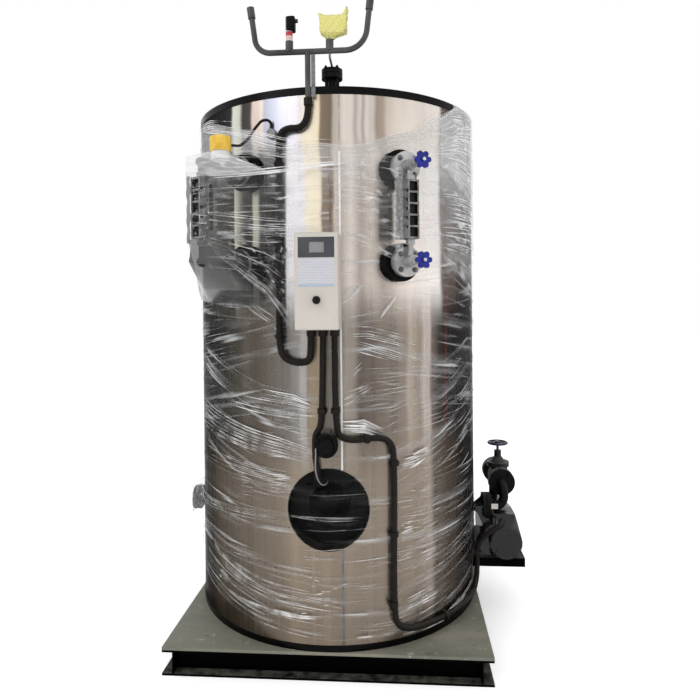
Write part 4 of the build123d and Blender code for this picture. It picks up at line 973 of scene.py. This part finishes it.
def drape(name, lines, material):
    """Sheet pulled through upright lines of (angle, radius, z), from the right-hand line to the left."""
    steps = [[around(radians(angle), r, z) for angle, r, z in line] for line in lines]

    def spot(share, up):
        down = share * (len(steps[0]) - 1)
        row = min(int(down), len(steps[0]) - 2)
        across = up * (len(steps) - 1)
        column = min(int(across), len(steps) - 2)
        ends = [line[row].lerp(line[row + 1], down - row) for line in steps[column:column + 2]]
        at = ends[0].lerp(ends[1], across - column)
        out = Vector((at.x, at.y, 0))
        wave = 0.002 * (1 + sin(across * 9 + down * 4))
        return at + out / out.length * max(wave, FILM_R - out.length)

    grid(48, 32, spot)
    declared([named(name, material=material)], name)


tent("film_left_outer", [(-73.5, FILM_R, 1.49, 2.06), (-28.4, LEFT_R - 0.012, 1.69, 1.94)], "film_tent",
     12, 11, stands_for="film_left")
tent("film_left_inner", [(-22.8, LEFT_R - 0.005, 1.72, 1.93), (-12, 0.752, 1.74, 1.97),
                         (3, FILM_R + 0.02, 1.76, 2.005)], "film_tent", 5, 12, stands_for="film_left")
tent("film_left_lower", [(-22.8, LEFT_R - 0.005, 1.68, 1.72), (-14.5, 0.78, 1.5, 1.74),
                         (-8.3, 0.7, 1.36, 1.74)], "film_band", 5, 13)
tent("film_left_face", [(-28.4, LEFT_R - 0.002, 1.68, 1.935), (-22.8, LEFT_R - 0.005, 1.68, 1.93)],
     "film_band", 5, 14)
tent("film_corner", [(46.6, CORNER_R, 1.88, 2.23), (56, CORNER_R, 1.8, 2.3), (68, CORNER_R, 1.72, 2.305),
                     (80, CORNER_R, 1.66, 2.305), (108, CORNER_R, 1.66, 2.305)], "film_corner", 22, 20,
     (0.0015, 0.0045), (0.4, 1))
tent("film_rim", [(55, RIM_R, 2.285, TOP_Z), (66, RIM_R, 2.285, TOP_Z), (80, RIM_R, 2.285, TOP_Z)],
     "film_corner", 5, 22)
tent("film_right_inner", [(5, FILM_R + 0.02, 1.72, 2.04), (14, 0.724, 1.68, 2.03),
                          (22.2, RIGHT_R, 1.62, 2.01)], "film_tent", 14, 15, stands_for="film_right")
tent("film_right_outer", [(29, RIGHT_R, 1.66, 2.03), (64, FILM_R, 1.5, 2.12), (80, FILM_R, 1.46, 2.2)],
     "film_sheer", 12, 16, reach=(0.3, 0.9), stands_for="film_right")
tent("film_right_face", [(21, RIGHT_R, 1.66, 1.97), (23.2, RIGHT_R, 1.66, 1.97)], "film_crumple", 5, 17)
tent("film_right_edge", [(28.4, RIGHT_R, 1.62, 2), (30, RIGHT_R, 1.62, 2)], "film_crumple", 6, 21)
tent("film_side", [(-112, FILM_R, 0.37, 0.63), (-94.5, 0.7285, 0.43, 0.56), (-85.5, 0.7285, 0.43, 0.56),
                   (-70, FILM_R, 0.36, 0.64)], "film_crinkle", 14, 18)
drape("film_left_skirt", [
    [(-19, 0.92, 1.715), (-16.5, 0.85, 1.62), (-15.5, 0.76, 1.52), (-17, 0.659, 1.44)],
    [(-27, 0.97, 1.705), (-27.4, 0.976, 1.625), (-36, 0.8, 1.53), (-50, 0.659, 1.47)],
    [(-28.6, 0.962, 1.705), (-36.8, 0.834, 1.635), (-56.1, 0.694, 1.55), (-73, 0.659, 1.487)],
], "film_haze")
tent("film_left_cap", [(-28.8, 0.964, 1.93, 2.006), (-24, 0.93, 1.932, 2.022), (-19, 0.87, 1.94, 2.005),
                       (-14, 0.785, 1.955, 1.97)], "film_cap", 5, 23, MIDDLE, (0.4, 0.9))
tent("film_left_lip", [(-28.2, 0.9706, 1.69, 1.932), (-27.4, 0.966, 1.69, 1.932)], "film_lip", 0)

# %% Rolled edges and gathered folds
# Each line is a narrow band: its number of folds, their width, the least and the most of the band that one
# covers, and its stations, as (angle, low z, high z) close to the shell or (angle, radius, low z, high z).
GATHERS = [
    ("upper_rope", 3, WIDE, 0.92, 1, (-27.6, LEFT_R + 0.002, 1.918, 1.938), (-17.5, 0.85, 1.934, 1.958),
     (-12, 0.757, 1.958, 1.982), (-4, 0.694, 1.98, 2.002), (3, 0.675, 1.996, 2.012), (9, 2.006, 2.016)),
    ("film_edge", 4, FINE, 0.4, 0.9, (-14, 2.075, 2.09), (0, 2.078, 2.092), (8, 2.066, 2.08),
     (16, 2.076, 2.09), (24, 2.114, 2.128), (32, 2.136, 2.152), (42, 2.196, 2.214), (57, 2.29, 2.305)),
    ("below_edge", 8, FINE, 0.3, 0.8, (12, 2.03, 2.08), (24, 2.06, 2.115), (34, 2.09, 2.15),
     (46, 2.14, 2.23)),
    ("upper_left_edge", 6, MIDDLE, 0.4, 1, (-73, 2.24, 2.27), (-50, 2.22, 2.26), (-28, 2.16, 2.2)),
    ("sensor_fan", 14, MIDDLE, 0.3, 0.9, (-33, 0.83, 2.08, 2.16), (-20, 0.73, 2.05, 2.14),
     (-12, 0.69, 2.03, 2.11), (6, 2.03, 2.1)),
    ("sensor_film", 14, MIDDLE, 0.3, 0.8, (-33, 0.83, 1.96, 2.15), (-26, 0.8, 1.98, 2.13),
     (-12, 0.7, 1.99, 2.1)),
    ("left_rope", 7, MIDDLE, 0.4, 1, (-73, 2.02, 2.06), (-50, 0.77, 1.98, 2.02),
     (-31, LEFT_R - 0.06, 1.905, 1.935)),
    ("fan_high", 36, BRIGHT, 0.5, 1, (45, 2.04, 2.12), (58, 1.96, 2.22), (76, 1.88, 2.28)),
    ("fan_middle", 18, BRIGHT, 0.4, 0.9, (46.5, 1.73, 1.93), (77, 1.73, 1.93)),
    ("fan_low", 18, MIDDLE, 0.4, 1, (45, 1.66, 1.71), (58, 1.58, 1.72), (76, 1.46, 1.72)),
    ("gauge_fan", 12, MIDDLE, 0.25, 0.6, (-23, LEFT_R, 1.7, 1.8), (-14, 0.79, 1.69, 1.79),
     (0, 1.71, 1.78), (14, 1.72, 1.77)),
    ("lower_stub_fan", 12, MIDDLE, 0.2, 0.6, (-40, 0.8, 1.62, 1.67), (-27, 0.75, 1.6, 1.66),
     (-13, 1.56, 1.64)),
    ("left_diagonal", 4, MIDDLE, 0.3, 0.9, (-23, LEFT_R - 0.02, 1.655, 1.68), (-14, 0.78, 1.5, 1.54),
     (-8.4, 0.7, 1.36, 1.41)),
    ("left_gather", 16, MIDDLE, 0.08, 0.3, (-63, 1.46, 1.52), (-40, 1.45, 1.51), (-28, 1.44, 1.5),
     (-18, 1.38, 1.43), (-12, 1.33, 1.38)),
    ("left_upper_sweep", 9, FINE, 0.4, 1, (-63, 1.15, 1.4), (-33, 1.23, 1.42)),
    ("waist_left", 9, MIDDLE, 0.3, 0.8, (-36, 1.05, 1.15), (-22, 1.03, 1.14), (-10, 1.02, 1.12),
     (-2, 1.02, 1.08)),
    ("sweep_left", 12, MIDDLE, 0.4, 1, (-63, 0.92, 1.06), (-43, 0.9, 1.01), (-29, 0.88, 0.975),
     (-15, 0.865, 0.945), (-2, 0.845, 0.9)),
    ("sweep_left_high", 4, MIDDLE, 0.5, 1, (-40, 1.055, 1.075), (-22, 1.03, 1.055), (-11, 1.025, 1.045),
     (-3, 1.02, 1.035)),
    ("sweep_left_low", 9, FINE, 0.4, 0.9, (-61, 0.8, 0.87), (-39, 0.79, 0.845), (-23, 0.775, 0.825),
     (-8, 0.765, 0.81)),
    ("sweep_left_short", 18, FINE, 0.15, 0.5, (-22, 0.86, 1.02), (-5, 0.86, 1.02)),
    ("port_upper_left", 12, MIDDLE, 0.3, 0.9, (-20.5, 0.72, 0.8), (-10, 0.72, 0.8)),
    ("port_far_left", 7, FINE, 0.4, 1, (-33, 0.69, 0.79), (-26, 0.69, 0.79)),
    ("waist_right", 9, MIDDLE, 0.3, 0.8, (6, 1.33, 1.38), (16, 1.33, 1.38), (26, 1.3, 1.35),
     (34, 1.27, 1.32)),
    ("waist_right_fall", 6, MIDDLE, 0.4, 0.9, (11, 1.28, 1.33), (23, 1.24, 1.29), (38, 1.19, 1.23)),
    ("waist_right_low", 7, FINE, 0.3, 0.9, (12, 1.1, 1.22), (37, 1.12, 1.22)),
    ("right_glint_high", 2, WIDE, 0.6, 1, (20, 1.4, 1.42), (26, 1.48, 1.5)),
    ("right_glint_low", 3, MIDDLE, 0.4, 1, (9.5, 1.17, 1.2), (14, 1.22, 1.25)),
    ("right_glint_box", 6, MIDDLE, 0.3, 0.9, (6.5, 1.45, 1.5), (14, 1.52, 1.56)),
    ("pipe_gather", 12, MIDDLE, 0.2, 0.6, (7, 1.06, 1.12), (12, 1.09, 1.14), (18, 1.13, 1.17)),
    ("pipe_rope", 10, WIDE, 0.4, 0.9, (5.5, 0.975, 1.015), (14, ROPE_R + 0.004, 0.965, 1.02),
     (21.5, 0.93, 0.97)),
    ("sweep_right", 9, FINE, 0.2, 0.7, (8, 0.94, 1.06), (37, 0.96, 1.07), (58, 0.98, 1.1),
     (78, 1.04, 1.22)),
    ("below_right", 9, FINE, 0.15, 0.5, (26, 0.72, 0.93), (40, 0.73, 0.93), (58, 0.76, 0.97),
     (78, 0.86, 1.06)),
    ("hip_right", 44, FINE, 0.2, 0.8, (26, 0.4, 0.74), (36, 0.41, 0.73), (46, 0.43, 0.74)),
    ("bend_scrap", 12, WIDE, 0.2, 0.6, (26.5, 0.8, 0.86), (33, 0.81, 0.87), (40, 0.84, 0.88)),
    ("clip_scrap", 12, MIDDLE, 0.2, 0.9, (26.5, 0.52, 0.6), (32, 0.53, 0.6)),
    ("foot_scrap", 10, MIDDLE, 0.3, 0.9, (26.5, 0.245, 0.29), (43, 0.26, 0.33)),
    ("belly_line", 9, FINE, 0.4, 0.9, (-78, 0.57, 0.64), (-50, 0.59, 0.63), (-33, 0.6, 0.64),
     (-14, 0.61, 0.65)),
    ("port_line", 2, FINE, 0.8, 1, (-14, 0.633, 0.645), (0, 0.629, 0.641), (15, 0.625, 0.637)),
    ("low_sweep", 16, FINE, 0.15, 0.5, (-50, 0.4, 0.46), (-40, 0.36, 0.42), (-28, 0.32, 0.39),
     (-16, 0.29, 0.36), (-2, 0.27, 0.35), (10, 0.25, 0.33)),
    ("low_edge", 5, MIDDLE, 0.5, 1, (-38, 0.25, 0.28), (-20, 0.245, 0.265), (-8, 0.24, 0.26),
     (4, 0.245, 0.265)),
    ("low_glints", 16, MIDDLE, 0.05, 0.16, (-8, 0.25, 0.42), (10, 0.25, 0.42)),
    ("low_scratch", 8, MIDDLE, 0.3, 0.9, (-46, 0.31, 0.36), (-38, 0.29, 0.33)),
    ("foot_line", 2, MIDDLE, 0.8, 1, (10.5, 0.166, 0.176), (24, 0.166, 0.176)),
    ("rim_corner", 30, MIDDLE, 0.2, 0.7, (32, 2.12, 2.16), (47, 2.16, 2.26), (64, 2.14, 2.305),
     (80, 2.12, 2.305)),
    ("foot_rope", 10, MIDDLE, 0.3, 0.8, (25, 0.145, 0.16), (48, ROPE_R + 0.002, 0.15, 0.185),
     (74, 0.2, 0.28)),
    ("left_back", 26, FINE, 0.15, 0.6, (-180, 0.9, 1.5), (-75, 0.9, 1.6)),
    ("right_back", 26, FINE, 0.15, 0.6, (80, 0.9, 1.6), (180, 0.9, 1.5)),
    ("left_back_high", 24, FINE, 0.15, 0.6, (-180, 1.7, 2.2), (-75, 1.7, 2.2)),
    ("right_back_high", 24, FINE, 0.15, 0.6, (80, 1.6, 2.2), (180, 1.7, 2.2)),
]
for index, (name, count, width, least, most, *spots) in enumerate(GATHERS):
    stations = [at if len(at) == 4 else (at[0], ROPE_R, *at[1:]) for at in spots]
    declared([creases("film_" + name, stations, count, width, (least, most), 100 + index)], "film_" + name)
print(len(GATHERS), "gathers of folds")

# %% Seam of the cladding: its folded edge, an upright strip in three lengths, the one above the port white as a painted highlight
SEAM_ANGLE = radians(6.5)
SEAM_W = 0.0075
SEAM_T = 0.0025
SEAM_HIGHLIGHT_Z = 2.06
# The seam's white length above the port is painted highlight; above and below it the seam has plain steel
# finishes.
for name, low, high, material in (
        ("seam_above", PORT.z + PORT_R - 0.008, SEAM_HIGHLIGHT_Z, "seam_highlight"),
        ("seam_top", SEAM_HIGHLIGHT_Z, shell_high.z - 0.004, "cock_steel"),
        ("seam_below", shell_low.z + 0.004, PORT.z - PORT_R + 0.008, "rail_steel")):
    block((SEAM_W, high - low, SEAM_T))
    bevelled(named(name, facing(SEAM_ANGLE, SHELL_R + SEAM_T / 2, (low + high) / 2), material), 0.0008, 1)

# %% [markdown]
# The controller stands in a bag of thin yellow film, tied at its stem: a divided cube, flared at its top
# corners, drawn in at its foot and crumpled, over a plain case.

# %% Controller in its bag
CASE_LOW, CASE_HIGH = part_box("pressure_controller")
CASE_MIDDLE = centre("pressure_controller")
STEM_X = 0.043
CASE_SIZE = (0.084, 0.042, 0.060)
block(CASE_SIZE)
bevelled(named("controller_case", (CASE_MIDDLE.x, CASE_MIDDLE.y, CASE_HIGH.z - 0.038), "bag_case"), 0.004, 3)
rod(0.0075, 0.05, vertices=20)
bevelled(named("controller_stem", (STEM_X, CASE_MIDDLE.y, CASE_LOW.z + 0.025), "rail_steel"), 0.001)
block((1, 1, 1))
edit("SELECT")
bpy.ops.mesh.subdivide(number_cuts=20)
leave()
wide = (CASE_HIGH.x - CASE_LOW.x) * 0.94
deep = (CASE_HIGH.y - CASE_LOW.y) * 0.9
tall = CASE_HIGH.z - CASE_LOW.z - 0.006
for vertex in bpy.context.object.data.vertices:
    side, back, up = vertex.co
    up += 0.5
    draw = min(up / 0.35, 1)
    draw = 0.28 + 0.72 * draw * draw * (3 - 2 * draw)
    flare = 1 + 0.10 * max(up - 0.8, 0) / 0.2
    ear = 0.030 * max(abs(side) - 0.32, 0) / 0.18 * max(up - 0.75, 0) / 0.25
    crumple = 0.0035 * sin(side * 31 + up * 17) * sin(back * 37 + up * 29 + side * 11)
    x = side * wide * draw * flare + (1 - draw) * (STEM_X - CASE_MIDDLE.x)
    z = (up - 0.5) * tall + ear * (1 if side > 0 else 0.35) + crumple * 0.6
    vertex.co = Vector((x + crumple, back * deep * draw + crumple, z))
bpy.ops.object.shade_smooth()
bag = named("controller_bag", CASE_MIDDLE, "bag_plastic")
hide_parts("pressure_controller")

# %% Plug of the transmitter and studs under the top blank
PLUG_LOW, PLUG_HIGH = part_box("pressure_transmitter")
PLUG_SIZE = (0.032, 0.034, 0.058)
PLUG_SHIFT = 0.008
depth = PLUG_HIGH.y - PLUG_LOW.y
block(PLUG_SIZE)
plug_at = (PLUG_LOW.x + depth / 2 + PLUG_SHIFT, (PLUG_LOW.y + PLUG_HIGH.y) / 2,
           PLUG_HIGH.z - PLUG_SIZE[2] / 2 + 0.001)
bevelled(named("transmitter_plug", plug_at, "black_rubber"), 0.006, 3)
studs = []
for index, place in enumerate(blank_places):
    rod(0.0045, 0.050)
    stud = named(f"blank_stud_{index}", place @ Matrix.Translation((0, 0, -0.045)), "black_steel")
    studs.append(bevelled(stud, 0.0008))
joined(studs, "blank_studs")
print("plug at", [round(value, 3) for value in plug_at])

# %% Panel dressing: printed sheet and inner screen frame
LABEL_LOW_Z = 1.532
LABEL_HIGH_Z = 1.636
LABEL_W = 0.134
block((LABEL_W, 0.0008, LABEL_HIGH_Z - LABEL_LOW_Z))
label_at = (centre("control_box").x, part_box("panel_face")[0].y - 0.0004, (LABEL_LOW_Z + LABEL_HIGH_Z) / 2)
bevelled(named("panel_sheet", label_at, "panel_print"), 0.0002, 1)
window = centre("display_window")
SCREEN_SIZE = (0.056, 0.0012, 0.040)
block(SCREEN_SIZE)
edit("SELECT")
bpy.ops.mesh.inset(thickness=0.003, depth=-0.0004, use_individual=True)
leave()
screen_at = (window.x + 0.002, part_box("display_window")[0].y - 0.0006, window.z)
named("panel_screen", screen_at, "grey_plastic")

# %% Nuts of the star wheels, in bright steel
WHEEL_REACH = 0.215
for wheel, level_z in (("lower_cock_wheel", GAUGE_Z[0]), ("upper_cock_wheel", GAUGE_Z[1])):
    rod(0.0076, 0.0056, vertices=6)
    place = facing(GAUGE_ANGLE, SHELL_R + WHEEL_REACH + 0.0168, level_z)
    bevelled(named(wheel + "_nut", place, "flange_steel", wheel), 0.0008)

# %% Film over the pump and the motor, a tag and the film between them and the shell
pump_copies = []
for name in ("feed_pump", "feed_motor"):
    copy = copied(nodes[name], name + "_wrap", Matrix.Identity(4))
    copy.parent = None
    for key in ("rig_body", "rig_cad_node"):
        del copy[key]
    pump_copies.append(copy)
choose(*pump_copies)
bpy.ops.object.join()
pump_film = bpy.context.object
pump_film.data.materials.clear()
edit("SELECT")
bpy.ops.mesh.convex_hull()
bpy.ops.mesh.select_all(action="SELECT")
bpy.ops.mesh.tris_convert_to_quads()
bpy.ops.mesh.subdivide(number_cuts=2)
bpy.ops.uv.smart_project()
bpy.ops.mesh.normals_make_consistent(inside=False)
bpy.ops.transform.shrink_fatten(value=0.003)
bpy.ops.mesh.select_all(action="DESELECT")
leave()
for face in pump_film.data.polygons:
    face.select = face.normal.z < -0.35 or face.normal.x < -0.35
edit()
bpy.ops.mesh.select_mode(type="FACE")
bpy.ops.mesh.delete(type="FACE")
leave()
pump_film = named("film_pump", material="film_dark")

FILL_Y = -0.175
TAG_AT = (0.728, -0.176, 0.527)
# This film between the pump and the shell is near black: painted shade of the gap behind it.
grid(16, 30, lambda share, up: Vector((
    0.640 + 0.085 * share, FILL_Y + 0.02 * share + 0.003 * sin(up * 19 + share * 7), 0.300 + 0.225 * up)))
declared([named("film_fill", material="film_dark")], "film_fill")
TAG_SIZE = (0.030, 0.0016, 0.024)
block(TAG_SIZE)
bevelled(named("pump_tag", TAG_AT, "box_paint"), 0.0005, 1)
